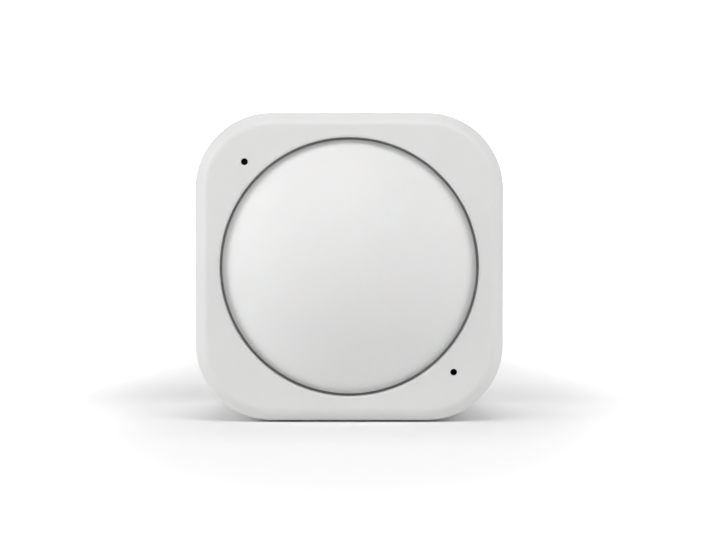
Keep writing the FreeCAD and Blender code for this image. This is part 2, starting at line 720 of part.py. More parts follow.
def make_usb_flap():
    """Soft flap: plate with a rolled hinge end, two hinge stubs and a plug."""
    y_start = y_at(USB_DEPTH - FLAP_WIDTH / 2)
    hinge_z = CENTRE_Z + FLAP_HINGE_HEIGHT
    plate = block(
        FLAP_INNER_X, FLAP_OUTER_X, FLAP_BOTTOM_HEIGHT, FLAP_HINGE_HEIGHT,
        USB_DEPTH - FLAP_WIDTH / 2, USB_DEPTH + FLAP_WIDTH / 2,
    )
    low = [
        e for e in plate.Edges
        if e.BoundBox.XLength > FLAP_THICKNESS / 2
        and e.BoundBox.ZMax < hinge_z - FLAP_LENGTH / 2
    ]
    plate = plate.makeFillet(FLAP_CORNER, low)
    roll = Part.makeCylinder(
        FLAP_HINGE_ROUND, FLAP_WIDTH, V(FLAP_HINGE_X, y_start, hinge_z), V(0, 1, 0)
    )
    upper = block(
        FLAP_INNER_X, FLAP_OUTER_X, FLAP_HINGE_HEIGHT, FLAP_TOP_HEIGHT,
        USB_DEPTH - FLAP_WIDTH / 2, USB_DEPTH + FLAP_WIDTH / 2,
    )
    stubs = Part.makeCylinder(
        FLAP_PIN_RADIUS, FLAP_WIDTH + 2 * FLAP_PIN_LENGTH,
        V(FLAP_HINGE_X, y_start - FLAP_PIN_LENGTH, hinge_z), V(0, 1, 0),
    )
    plug = usb_block(FLAP_INNER_X - FLAP_PLUG_LENGTH, FLAP_INNER_X, USB_WIDTH, USB_THICKNESS)
    return plate.fuse([roll.common(upper), stubs, plug]).removeSplitter()


def make_action_button():
    """Round button with a retaining flange and a stem."""
    outer = HALF - BUTTON_INSET
    flange_out = CAVITY_HALF - BUTTON_CLEARANCE
    flange_in = flange_out - BUTTON_FLANGE_THICKNESS
    cap = cross_rod(BUTTON_RADIUS, flange_in, outer, BUTTON_HEIGHT, BUTTON_DEPTH)
    rim = [e for e in cap.Edges if abs(e.BoundBox.XMin - outer) < FLAT]
    cap = cap.makeChamfer(BUTTON_EDGE_BEVEL, rim)
    flange = cross_rod(BUTTON_FLANGE_RADIUS, flange_in, flange_out, BUTTON_HEIGHT, BUTTON_DEPTH)
    stem = cross_rod(
        BUTTON_STEM_RADIUS, flange_in - BUTTON_STEM_LENGTH, flange_in, BUTTON_HEIGHT, BUTTON_DEPTH
    )
    return cap.fuse([flange, stem]).removeSplitter()


def plunger_places():
    """Outer end of the plunger and the face of the switch it comes out of."""
    outer = CAVITY_HALF - BUTTON_CLEARANCE - BUTTON_FLANGE_THICKNESS - BUTTON_STEM_LENGTH
    return outer, outer - PLUNGER_REACH


def make_button_switch():
    """Side-pushed switch standing on the board, bored for its plunger."""
    face = plunger_places()[1]
    body = block(
        face - SWITCH_LENGTH, face, BUTTON_HEIGHT - SWITCH_SIZE / 2, BUTTON_HEIGHT + SWITCH_SIZE / 2,
        BUTTON_DEPTH - SWITCH_SIZE / 2, BOARD_DEPTH,
    )
    bore_depth = 2 * BUTTON_TRAVEL + PLUNGER_RADIUS
    bore = cross_rod(
        PLUNGER_RADIUS + PLUNGER_CLEARANCE, face - bore_depth, face, BUTTON_HEIGHT, BUTTON_DEPTH
    )
    return body.cut(bore)


def make_switch_plunger():
    """Plunger that the button's stem pushes."""
    outer, face = plunger_places()
    return cross_rod(PLUNGER_RADIUS, face - PLUNGER_RADIUS, outer, BUTTON_HEIGHT, BUTTON_DEPTH)


def cell_bore(clearance, up, x_from, x_to):
    """Round space along a cell."""
    return cross_rod(CELL_RADIUS + clearance, x_from, x_to, up, CELL_DEPTH)


def make_cradles():
    """Ribs on the tray floor, hollowed to the cells."""
    reach = CELL_TOP - CELL_RADIUS / 2
    ribs = []
    for step in (-1, 0, 1):
        middle = step * CRADLE_SPACING
        low, high = middle - CRADLE_THICKNESS / 2, middle + CRADLE_THICKNESS / 2
        rib = block(low, high, -reach, reach, TRAY_BACK, TRAY_BACK + CRADLE_RISE)
        bores = [
            cell_bore(CRADLE_CLEARANCE, up, low, high) for up in (-CELL_HEIGHT, CELL_HEIGHT)
        ]
        ribs.append(rib.cut(bores))
    return ribs


def catch_depths():
    """Depths of the foot's front and back faces, and of the top of the tooth."""
    tooth_back = TRAY_BACK + TRAY_WALL_LENGTH
    foot_back = tooth_back - LOCK_TOOTH_THICKNESS - LOCK_TOOTH_GAP
    return foot_back - LOCK_FOOT_THICKNESS, foot_back, tooth_back


def make_battery_tray():
    """Moulded tray: floor on four stand-offs, end walls, cradles and the catch."""
    back = TRAY_BACK + TRAY_WALL_LENGTH
    tray = square_slab(TRAY_HALF, TRAY_RADIUS, TRAY_FRONT, back)
    tray = tray.cut(block(-TRAY_INNER, TRAY_INNER, -HALF, HALF, TRAY_BACK, back))
    parts = posts(BOARD_BACK, TRAY_FRONT) + make_cradles()
    wall_top = CATCH_HEIGHT + TRAY_SIDE_WALL
    tooth_x = LOCK_ARM_X - LOCK_TOOTH_GAP
    foot_clear = LOCK_ARM_X + LOCK_ARM_WIDTH + LOCK_TRAVEL + LOCK_FOOT_LENGTH / 2
    parts.append(block(-TRAY_SIDE_HALF, TRAY_SIDE_HALF, -wall_top, -CATCH_HEIGHT, TRAY_BACK, back))
    parts.append(block(foot_clear, TRAY_SIDE_HALF, CATCH_HEIGHT, wall_top, TRAY_BACK, back))
    parts.append(block(-TRAY_SIDE_HALF, tooth_x, CATCH_HEIGHT, wall_top, TRAY_BACK, back))
    tray = tray.fuse(parts)
    foot_front, foot_back, _ = catch_depths()
    notch = block(
        LOCK_ARM_X - LOCK_FOOT_LENGTH - LOCK_TOOTH_GAP, tooth_x, CATCH_HEIGHT, wall_top,
        foot_front - LOCK_TOOTH_GAP, foot_back + LOCK_TOOTH_GAP,
    )
    cuts = [notch]
    for x, up in boss_places():
        cuts.append(rod(SCREW_RADIUS + SCREW_CLEARANCE, x, up, TRAY_FRONT, TRAY_BACK))
    for x in (CONTACT_X, -CONTACT_X - CONTACT_THICKNESS):
        for up in (-CELL_HEIGHT, CELL_HEIGHT):
            cuts.append(block(
                x - TAIL_CLEARANCE, x + CONTACT_THICKNESS + TAIL_CLEARANCE,
                up - TAIL_WIDTH / 2 - TAIL_CLEARANCE, up + TAIL_WIDTH / 2 + TAIL_CLEARANCE,
                TRAY_FRONT, TRAY_BACK,
            ))
    return tray.cut(cuts).removeSplitter()


def make_tray_screws():
    """Two pan-head screws with a cross recess."""
    screws = []
    for x, up in boss_places():
        shank = rod(SCREW_RADIUS, x, up, TRAY_BACK - SCREW_LENGTH, TRAY_BACK)
        head = rod(SCREW_HEAD_RADIUS, x, up, TRAY_BACK, TRAY_BACK + SCREW_HEAD_THICKNESS)
        screw = shank.fuse(head)
        top = TRAY_BACK + SCREW_HEAD_THICKNESS
        for wide, tall in (
            (SCREW_RECESS_LENGTH, SCREW_RECESS_WIDTH), (SCREW_RECESS_WIDTH, SCREW_RECESS_LENGTH)
        ):
            screw = screw.cut(block(
                x - wide / 2, x + wide / 2, up - tall / 2, up + tall / 2,
                top - SCREW_RECESS_DEPTH, top,
            ))
        screws.append(screw)
    return screws


def cell_ends(side):
    """Places along X of the bare end, the shoulder and the nub, nub towards side."""
    nub = side * CONTACT_X
    shoulder = nub - side * CELL_NUB_LENGTH
    bare = shoulder - side * CELL_BODY_LENGTH
    return bare, shoulder, nub


def make_cell(side, up):
    """Cell can with its nub, inside the printed sleeve."""
    bare, shoulder, nub = cell_ends(side)
    low, high = sorted((bare, shoulder))
    can = cross_rod(CELL_RADIUS - SLEEVE_THICKNESS, low, high, up, CELL_DEPTH)
    rims = [e for e in can.Edges if e.BoundBox.XLength < FLAT]
    can = can.makeChamfer(CELL_EDGE_BEVEL, rims)
    tip = cross_rod(CELL_NUB_RADIUS, *sorted((shoulder, nub)), up, CELL_DEPTH)
    return can.fuse(tip)


def make_sleeve(side, up):
    """Thin sleeve round the straight part of the can."""
    bare, shoulder, _ = cell_ends(side)
    low, high = sorted((bare, shoulder))
    low, high = low + CELL_EDGE_BEVEL, high - CELL_EDGE_BEVEL
    outer = cross_rod(CELL_RADIUS, low, high, up, CELL_DEPTH)
    return outer.cut(cross_rod(CELL_RADIUS - SLEEVE_THICKNESS, low, high, up, CELL_DEPTH))


def contact_plate(side, up_from, up_to):
    """Flat contact against the end wall of the tray."""
    low, high = sorted((side * CONTACT_X, side * (CONTACT_X + CONTACT_THICKNESS)))
    front = CELL_DEPTH - CONTACT_SIZE / 2
    return block(low, high, up_from, up_to, front, front + CONTACT_SIZE)


def contact_tail(side, up):
    """Strip from a contact through the tray floor to the board."""
    low, high = sorted((side * CONTACT_X, side * (CONTACT_X + CONTACT_THICKNESS)))
    return block(low, high, up - TAIL_WIDTH / 2, up + TAIL_WIDTH / 2, BOARD_BACK, CELL_DEPTH)


def make_end_contact(up):
    """One contact at the right end, with its tail."""
    half = CONTACT_SIZE / 2
    return contact_plate(1, up - half, up + half).fuse(contact_tail(1, up)).removeSplitter()


def make_bridge_contact():
    """Contact at the left end that joins the two cells."""
    half = CONTACT_SIZE / 2
    return contact_plate(-1, -CELL_HEIGHT - half, CELL_HEIGHT + half)


def spring_point(angle, side, up):
    """Point of the spring's middle line: it narrows as it rises from the contact."""
    share = angle / (2 * math.pi * SPRING_TURNS)
    radius = SPRING_BASE_RADIUS + (SPRING_TIP_RADIUS - SPRING_BASE_RADIUS) * share
    rise = SPRING_ROOM - 2 * SPRING_SEAT_GAP - 2 * SPRING_WIRE_RADIUS
    along = SPRING_SEAT_GAP + SPRING_WIRE_RADIUS + rise * share
    return V(
        side * (CONTACT_X - along),
        y_at(CELL_DEPTH) + radius * math.cos(angle),
        CENTRE_Z + up + radius * math.sin(angle),
    )


def spring_tangent(angle, side, up):
    """Unit direction of the middle line."""
    step = 1e-5
    ahead = spring_point(angle + step, side, up)
    direction = ahead - spring_point(angle - step, side, up)
    return direction.normalize()


def biarc(start, start_way, end, end_way):
    """Two arcs that leave and arrive along given directions."""
    chord = end - start
    ways = start_way + end_way
    a = 2 * (1 - start_way.dot(end_way))
    b = 2 * chord.dot(ways)
    c = -chord.dot(chord)
    reach = (-b + math.sqrt(b * b - 4 * a * c)) / (2 * a)
    join = (start + start_way * reach + end - end_way * reach) * 0.5
    arcs = []
    for point, way, other in ((start, start_way, join), (join, None, end)):
        if way is None:
            way = (end - end_way * reach - join).normalize()
        line = other - point
        normal = line.cross(way).cross(way).normalize()
        if normal.dot(line) < 0:
            normal = normal * -1
        radius = line.dot(line) / (2 * normal.dot(line))
        centre = point + normal * radius
        middle = ((point + other) * 0.5 - centre).normalize() * radius + centre
        arcs.append(Part.Arc(point, middle, other).toShape())
    return arcs


def make_contact_spring(side, up):
    """Conical spring, from the contact to the bare end of a cell. The wire has flat sides."""
    quarters = round(SPRING_TURNS * 4)
    edges = []
    for index in range(quarters):
        first = index * math.pi / 2
        last = first + math.pi / 2
        edges += biarc(
            spring_point(first, side, up), spring_tangent(first, side, up),
            spring_point(last, side, up), spring_tangent(last, side, up),
        )
    ring = Part.Circle(
        spring_point(0, side, up), spring_tangent(0, side, up), SPRING_WIRE_RADIUS
    )
    steps = [2 * math.pi * index / SPRING_WIRE_SIDES for index in range(SPRING_WIRE_SIDES + 1)]
    section = Part.makePolygon([ring.value(step) for step in steps])
    return Part.Wire(edges).makePipeShell([section], True, False)


def spring_self_gap():
    """Least gap between one turn of the spring and the next, measured on points."""
    half_turn = 18
    count = round(2 * SPRING_TURNS * half_turn)
    points = [spring_point(index * math.pi / half_turn, 1, 0) for index in range(count + 1)]
    apart = [
        points[i].distanceToPoint(points[j])
        for i in range(len(points)) for j in range(i + half_turn, len(points))
    ]
    return min(apart) - 2 * SPRING_WIRE_RADIUS


def lock_span(along):
    """Ends of the slot that the pad needs, and of the plate that covers it."""
    pad_low = LOCK_PAD_X - LOCK_PAD_LENGTH / 2
    slot_low = pad_low - LOCK_CLEARANCE
    slot_high = pad_low + LOCK_PAD_LENGTH + LOCK_TRAVEL + LOCK_CLEARANCE
    if along == "slot":
        return slot_low, slot_high
    return slot_low - LOCK_TRAVEL - LOCK_PLATE_OVERLAP, slot_high + LOCK_PLATE_OVERLAP


def make_lock_rails():
    """Rails on the inside of the cover that carry the lock plate, lips towards it."""
    low, plate_high = lock_span("plate")
    high = plate_high + LOCK_TRAVEL
    back = REAR_WALL_DEPTH
    plate_front = back - LOCK_CLEARANCE - LOCK_PLATE_THICKNESS
    lip_back = plate_front - LOCK_CLEARANCE
    lip_front = lip_back - LOCK_RAIL
    edge = LOCK_PLATE_WIDTH / 2 + LOCK_CLEARANCE
    rails = []
    for side in (-1, 1):
        inner, outer = LOCK_HEIGHT + side * edge, LOCK_HEIGHT + side * (edge + LOCK_RAIL)
        lip = LOCK_HEIGHT + side * (edge - LOCK_RAIL_LIP)
        rails.append(block(low, high, *sorted((inner, outer)), lip_front, back))
        lip_high = high if side < 0 else LOCK_ARM_X - 2 * LOCK_CLEARANCE
        rails.append(block(low, lip_high, *sorted((lip, outer)), lip_front, lip_back))
    return rails


def make_cover_rib():
    """Rib across the rear wall, from side to side through the insert boss."""
    half = COVER_RIB_WIDTH / 2
    return block(
        -CAVITY_HALF, CAVITY_HALF, -half, half, REAR_WALL_DEPTH - COVER_RIB_RISE, REAR_WALL_DEPTH
    )


def make_rear_cover():
    """Rear shell with the seam groove, the insert boss on its rib and the lock rails."""
    start = SEAM_DEPTH + SEAM_GAP
    shell = bevelled(square_slab(HALF, CORNER_RADIUS, start, BODY_DEPTH), BODY_DEPTH)
    shell = shell.cut(square_slab(CAVITY_HALF, CAVITY_RADIUS, start, REAR_WALL_DEPTH))
    groove_half = HALF - WALL / 2
    groove_back = SEAM_DEPTH + TONGUE_LENGTH + SEAM_GAP
    groove = square_slab(groove_half, CORNER_RADIUS - WALL / 2, start, groove_back)
    pocket_floor = BODY_DEPTH - INSERT_SINK - INSERT_LENGTH
    boss = rod(
        INSERT_RADIUS + INSERT_BOSS_WALL, 0, 0, pocket_floor - INSERT_FLOOR, REAR_WALL_DEPTH
    )
    shell = shell.cut(groove).fuse([boss, make_cover_rib()] + make_lock_rails())
    slot_low, slot_high = lock_span("slot")
    slot_half = LOCK_PAD_WIDTH / 2 + LOCK_CLEARANCE
    slot = block(
        slot_low, slot_high, LOCK_HEIGHT - slot_half, LOCK_HEIGHT + slot_half,
        REAR_WALL_DEPTH, BODY_DEPTH,
    )
    pocket = rod(INSERT_RADIUS + INSERT_CLEARANCE, 0, 0, pocket_floor, BODY_DEPTH)
    return shell.cut([slot, pocket]).removeSplitter()


def make_thread_insert():
    """Brass insert for a mounting arm, blind against the floor of its pocket."""
    back = BODY_DEPTH - INSERT_SINK
    insert = rod(INSERT_RADIUS, 0, 0, back - INSERT_LENGTH, back)
    return insert.cut(rod(INSERT_BORE_RADIUS, 0, 0, back - INSERT_LENGTH, back))


def make_foam_pads():
    """Two foam pads on the cover that keep the cells from rattling."""
    front = CELL_DEPTH + CELL_RADIUS + FOAM_GAP
    near = INSERT_RADIUS + INSERT_BOSS_WALL + FOAM_BOSS_GAP
    far = LOCK_RAIL_BOTTOM - FOAM_RAIL_GAP
    half = FOAM_LENGTH / 2
    return [
        block(-half, half, -far, -near, front, REAR_WALL_DEPTH),
        block(-half, half, near, far, front, REAR_WALL_DEPTH),
    ]


def make_lock_slider():
    """Sliding lock: ribbed pad in the slot, plate in the rails, arm and foot to the catch."""
    pad_low = LOCK_PAD_X - LOCK_PAD_LENGTH / 2
    plate_back = REAR_WALL_DEPTH - LOCK_CLEARANCE
    plate_front = plate_back - LOCK_PLATE_THICKNESS
    half = LOCK_PLATE_WIDTH / 2
    plate = block(*lock_span("plate"), LOCK_HEIGHT - half, LOCK_HEIGHT + half, plate_front, plate_back)
    pad_half = LOCK_PAD_WIDTH / 2
    pad_back = BODY_DEPTH - LOCK_PAD_SINK
    pad = block(
        pad_low, pad_low + LOCK_PAD_LENGTH, LOCK_HEIGHT - pad_half, LOCK_HEIGHT + pad_half,
        plate_back, pad_back,
    )
    foot_front, foot_back, _ = catch_depths()
    arm_top = LOCK_HEIGHT + half
    arm_low = arm_top - LOCK_ARM_THICKNESS
    arm = block(
        LOCK_ARM_X, LOCK_ARM_X + LOCK_ARM_WIDTH, arm_low, arm_top, foot_front, plate_front
    )
    foot = block(LOCK_ARM_X - LOCK_FOOT_LENGTH, LOCK_ARM_X, arm_low, arm_top, foot_front, foot_back)
    slider = plate.fuse([pad, arm, foot])
    for index in range(LOCK_GRIP_COUNT):
        middle = LOCK_PAD_X + (index - (LOCK_GRIP_COUNT - 1) / 2) * LOCK_GRIP_PITCH
        slider = slider.cut(block(
            middle - LOCK_GRIP_WIDTH / 2, middle + LOCK_GRIP_WIDTH / 2,
            LOCK_HEIGHT - pad_half, LOCK_HEIGHT + pad_half, pad_back - LOCK_GRIP_DEPTH, pad_back,
        ))
    return slider.removeSplitter()


def write_node(name, shape):
    """Write one named piece, or a group of like pieces, to its own file."""
    if isinstance(shape, list):
        shape = Part.makeCompound(shape)
    if not shape.isValid():
        print("NOT VALID", name)
    shape.exportStep(os.path.join("parts", name + ".step"))
    print(name, len(shape.Solids), round(shape.Volume, 2))


def main():
    """Make and write every piece."""
    os.makedirs("parts", exist_ok=True)
    led_x, led_up = pinhole_places()[0]
    vent_x, vent_up = pinhole_places()[1]
    write_node("front_housing", make_front_housing())
    write_node("fresnel_dome", make_fresnel_dome())
    write_node("lens_carrier", make_lens_carrier())
    write_node("light_pipe", make_light_pipe())
    write_node("vent_gasket", make_vent_gasket())
    write_node("vent_membrane", make_vent_membrane())
    write_node("main_board", make_main_board())
    write_node("pir_can", make_pir_can())
    write_node("pir_window", pir_window_block())
    write_node("pir_leads", make_pir_leads())
    write_node("pir_spacer", make_pir_spacer())
    write_node("light_sensor", on_board(
        LIGHT_SENSOR_SIZE, LIGHT_SENSOR_SIZE, LIGHT_SENSOR_THICKNESS,
        LIGHT_SENSOR_X, LIGHT_SENSOR_HEIGHT,
    ))
    write_node("uv_sensor", on_board(
        UV_SENSOR_SIZE, UV_SENSOR_SIZE, UV_SENSOR_THICKNESS, UV_SENSOR_X, UV_SENSOR_HEIGHT
    ))
    write_node("climate_sensor", on_board(
        CLIMATE_SIZE, CLIMATE_SIZE, CLIMATE_THICKNESS, vent_x, vent_up
    ))
    write_node("vibration_sensor", on_board(
        VIBRATION_WIDTH, VIBRATION_HEIGHT, VIBRATION_THICKNESS, VIBRATION_X, 0
    ))
    write_node("status_led", on_board(LED_WIDTH, LED_HEIGHT, LED_THICKNESS, led_x, led_up))
    write_node("radio_shield", make_radio_shield())
    write_node("microcontroller", on_board(CHIP_SIZE, CHIP_SIZE, CHIP_THICKNESS, CHIP_X, CHIP_HEIGHT))
    write_node("crystal", on_board(
        CRYSTAL_WIDTH, CRYSTAL_HEIGHT_SIZE, CRYSTAL_THICKNESS, CRYSTAL_X, CHIP_HEIGHT
    ))
    write_node("antenna", on_board(
        ANTENNA_LENGTH, ANTENNA_WIDTH, ANTENNA_THICKNESS, ANTENNA_X, ANTENNA_HEIGHT
    ))
    write_node("capacitors", make_capacitors())
    write_node("usb_socket", make_usb_socket())
    write_node("usb_tongue", make_usb_tongue())
    write_node("usb_flap", make_usb_flap())
    write_node("action_button", make_action_button())
    write_node("button_switch", make_button_switch())
    write_node("switch_plunger", make_switch_plunger())
    write_node("battery_tray", make_battery_tray())
    write_node("tray_screws", make_tray_screws())
    write_node("upper_cell", make_cell(1, CELL_HEIGHT))
    write_node("upper_cell_sleeve", make_sleeve(1, CELL_HEIGHT))
    write_node("lower_cell", make_cell(-1, -CELL_HEIGHT))
    write_node("lower_cell_sleeve", make_sleeve(-1, -CELL_HEIGHT))
    write_node("bridge_contact", make_bridge_contact())
    write_node("positive_contact", make_end_contact(CELL_HEIGHT))
    write_node("negative_contact", make_end_contact(-CELL_HEIGHT))
    write_node("contact_springs", [
        make_contact_spring(-1, CELL_HEIGHT), make_contact_spring(1, -CELL_HEIGHT)
    ])
    write_node("rear_cover", make_rear_cover())
    write_node("thread_insert", make_thread_insert())
    write_node("foam_pads", make_foam_pads())
    write_node("lock_slider", make_lock_slider())
    gap = spring_self_gap()
    print("spring gap to itself", round(gap, 3), "wanted over", SPRING_LEAST_GAP)


main()
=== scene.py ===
import math
import bmesh
import bpy
from mathutils import Matrix, Vector


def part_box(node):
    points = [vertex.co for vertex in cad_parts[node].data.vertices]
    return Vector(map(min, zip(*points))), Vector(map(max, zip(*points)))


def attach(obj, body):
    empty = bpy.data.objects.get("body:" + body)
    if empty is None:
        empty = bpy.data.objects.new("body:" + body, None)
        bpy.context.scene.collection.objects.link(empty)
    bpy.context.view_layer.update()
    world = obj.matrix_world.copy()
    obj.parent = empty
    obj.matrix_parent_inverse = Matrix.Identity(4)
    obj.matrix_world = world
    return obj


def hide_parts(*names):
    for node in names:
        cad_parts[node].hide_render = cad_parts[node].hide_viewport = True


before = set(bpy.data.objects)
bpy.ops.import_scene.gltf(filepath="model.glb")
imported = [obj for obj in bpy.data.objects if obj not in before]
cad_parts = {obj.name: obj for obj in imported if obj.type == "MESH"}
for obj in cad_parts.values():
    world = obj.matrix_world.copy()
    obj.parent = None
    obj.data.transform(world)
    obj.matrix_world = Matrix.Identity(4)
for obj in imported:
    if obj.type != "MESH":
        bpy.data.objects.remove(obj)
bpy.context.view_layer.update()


# FRONT HOUSING
# The white front shell, injection moulded in one piece with its screw bosses and the tongue of
# the seam. The mould is finely spark eroded, so the plastic is satin and its edges are soft.
MM = 0.001
shell_low, shell_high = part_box("front_housing")
HALF = (shell_high.x - shell_low.x) / 2 / MM
FRONT = shell_low.y / MM
CENTRE = (shell_low.z + shell_high.z) / 2 / MM
CORNER = 11.0
WALL = 2.0
BEVEL = 1.4
SEAM = 24.5
TONGUE_INSET = 1.1
TONGUE_END = SEAM + 1.5
SEAM_PLAY = 0.02
BEVEL_SOFT = 0.6
FACE_SOFT = 1.3
OPENING = HALF - 3.5
PINHOLES = ((-14.9, 15.0), (14.9, -15.0))
BOSSES = ((15.2, 15.2), (-15.2, -15.2))
BOSS_RADIUS = 2.3
BOSS_END = 13.6
TURN_STEPS = 20
SIDE_STEPS = 16
SLIVER = 0.001
WHITE = (0.80, 0.80, 0.795)


def place(x, up, depth):
    """Point right of and above the middle, and behind the front face, all in millimetres."""
    return Vector((x, FRONT + depth, CENTRE + up)) * MM


def square_ring(inset, depth):
    """The body's outline with its round corners, drawn in by an inset, at one depth."""
    radius = max(CORNER - inset, 0.4)
    middle = HALF - inset - radius
    ring = []
    for corner in range(4):
        bend = []
        for step in range(TURN_STEPS + 1):
            angle = math.radians(90 * (corner + step / TURN_STEPS))
            side_x = 1 if corner in (0, 3) else -1
            side_up = 1 if corner in (0, 1) else -1
            x = side_x * middle + radius * math.cos(angle)
            bend.append((x, side_up * middle + radius * math.sin(angle)))
        ring += bend
        heading = math.radians(90 * (corner + 1))
        run = Vector((-math.sin(heading), math.cos(heading))) * 2 * middle
        start = Vector(bend[-1])
        ring += [tuple(start + run * (step / SIDE_STEPS)) for step in range(1, SIDE_STEPS)]
    return [place(x, up, depth) for x, up in ring]


SQUARE_ANGLES = [math.atan2(point.z - CENTRE * MM, point.x) for point in square_ring(0, 0)]


def round_ring(radius, depth, x=0.0, up=0.0, angles=SQUARE_ANGLES):
    """A circle whose points face those of the body's outline."""
    return [place(x + radius * math.cos(a), up + radius * math.sin(a), depth) for a in angles]


def between(first, last, count):
    """Rings that lead evenly from one ring to another, without the two themselves."""
    steps = [step / (count + 1) for step in range(1, count + 1)]
    return [[a.lerp(b, share) for a, b in zip(first, last)] for share in steps]


def softened(corners, steps=5, support=0.06):
    """Profile through corners given as two places and a radius, with points beside each bend."""
    line = []
    for index, (a, b, radius) in enumerate(corners):
        here = Vector((a, b))
        if index in (0, len(corners) - 1) or radius <= 0:
            line.append(here)
            continue
        back = (Vector(corners[index - 1][:2]) - here).normalized()
        ahead = (Vector(corners[index + 1][:2]) - here).normalized()
        half = back.angle(ahead) / 2
        reach = radius / math.tan(half)
        centre = here + (back + ahead).normalized() * radius / math.sin(half)
        first, last = here + back * reach, here + ahead * reach
        line.append(first + back * support)
        turn = (first - centre).angle_signed(last - centre)
        for step in range(steps + 1):
            line.append(centre + Matrix.Rotation(-turn * step / steps, 2) @ (first - centre))
        line.append(last + ahead * support)
    return [tuple(point) for point in line]


def skin(name, rings, loop=False, poles=(None, None)):
    """Piece whose surface runs over rings of as many points each, with a point at a closed end."""
    mesh = bmesh.new()
    rows = [[mesh.verts.new(point) for point in ring] for ring in rings]
    pairs = list(zip(rows, rows[1:])) + ([(rows[-1], rows[0])] if loop else [])
    for near, far in pairs:
        for i in range(len(near)):
            j = (i + 1) % len(near)
            mesh.faces.new((near[i], near[j], far[j], far[i]))
    for row, pole in ((rows[0], poles[0]), (rows[-1], poles[1])):
        if pole is not None:
            tip = mesh.verts.new(pole)
            for i in range(len(row)):
                mesh.faces.new((row[i], row[(i + 1) % len(row)], tip))
    return piece(name, mesh)


def piece(name, mesh):
    """A new object from a mesh in the making, with its faces turned outwards."""
    bmesh.ops.remove_doubles(mesh, verts=mesh.verts, dist=1e-7)
    bmesh.ops.recalc_face_normals(mesh, faces=mesh.faces)
    data = bpy.data.meshes.new(name)
    mesh.to_mesh(data)
    mesh.free()
    made = bpy.data.objects.new(name, data)
    bpy.context.scene.collection.objects.link(made)
    return made


def turned(name, profile, x=0.0, up=0.0, count=64, across=False, poles=(False, False)):
    """Turned piece from a profile of radii and depths. Across, it lies along the width instead,
    from a profile of radii and widths, and x is its depth."""
    angles = [2 * math.pi * step / count for step in range(count)]
    if across:
        rings = [
            [place(along, up + r * math.cos(a), x + r * math.sin(a)) for a in angles]
            for r, along in profile
        ]
        ends = [place(profile[i][1], up, x) for i in (0, -1)]
    else:
        rings = [round_ring(r, depth, x, up, angles) for r, depth in profile]
        ends = [place(x, up, profile[i][1]) for i in (0, -1)]
    tips = [end if pole else None for end, pole in zip(ends, poles)]
    return skin(name, rings, loop=not any(poles), poles=tips)


def rod(name, radius, x, up, front, back, count=48):
    """Plain round rod, closed at both ends, to be cut out of a piece or fused to it."""
    profile = ((radius, front), (radius, back))
    return turned(name, profile, x, up, count, False, (True, True))


def brick(name, x_from, x_to, up_from, up_to, front, back, edge=0.0, steps=3):
    """Straight-sided block, its edges rounded by a small radius where one is given."""
    mesh = bmesh.new()
    bmesh.ops.create_cube(mesh, size=1.0)
    low, high = place(x_from, up_from, front), place(x_to, up_to, back)
    for vert in mesh.verts:
        vert.co = Vector([l + (h - l) * (c + 0.5) for c, l, h in zip(vert.co, low, high)])
    if edge:
        bmesh.ops.bevel(
            mesh, geom=mesh.edges[:], offset=edge * MM, segments=steps, profile=0.5,
            affect="EDGES", clamp_overlap=True,
        )
    return piece(name, mesh)


def joined(target, tools, operation="DIFFERENCE"):
    """Cut tools out of a piece, or fuse them to it, and clear away the tools and the slivers."""
    for tool in tools:
        step = target.modifiers.new("join", "BOOLEAN")
        step.object, step.operation, step.solver = tool, operation, "EXACT"
    bpy.context.view_layer.update()
    graph = bpy.context.evaluated_depsgraph_get()
    target.data = bpy.data.meshes.new_from_object(target.evaluated_get(graph))
    target.modifiers.clear()
    mesh = bmesh.new()
    mesh.from_mesh(target.data)
    bmesh.ops.remove_doubles(mesh, verts=mesh.verts, dist=SLIVER * MM)
    bmesh.ops.dissolve_degenerate(mesh, edges=mesh.edges, dist=SLIVER * MM)
    bmesh.ops.holes_fill(mesh, edges=[edge for edge in mesh.edges if edge.is_boundary], sides=4)
    mesh.to_mesh(target.data)
    mesh.free()
    for tool in tools:
        bpy.data.objects.remove(tool)


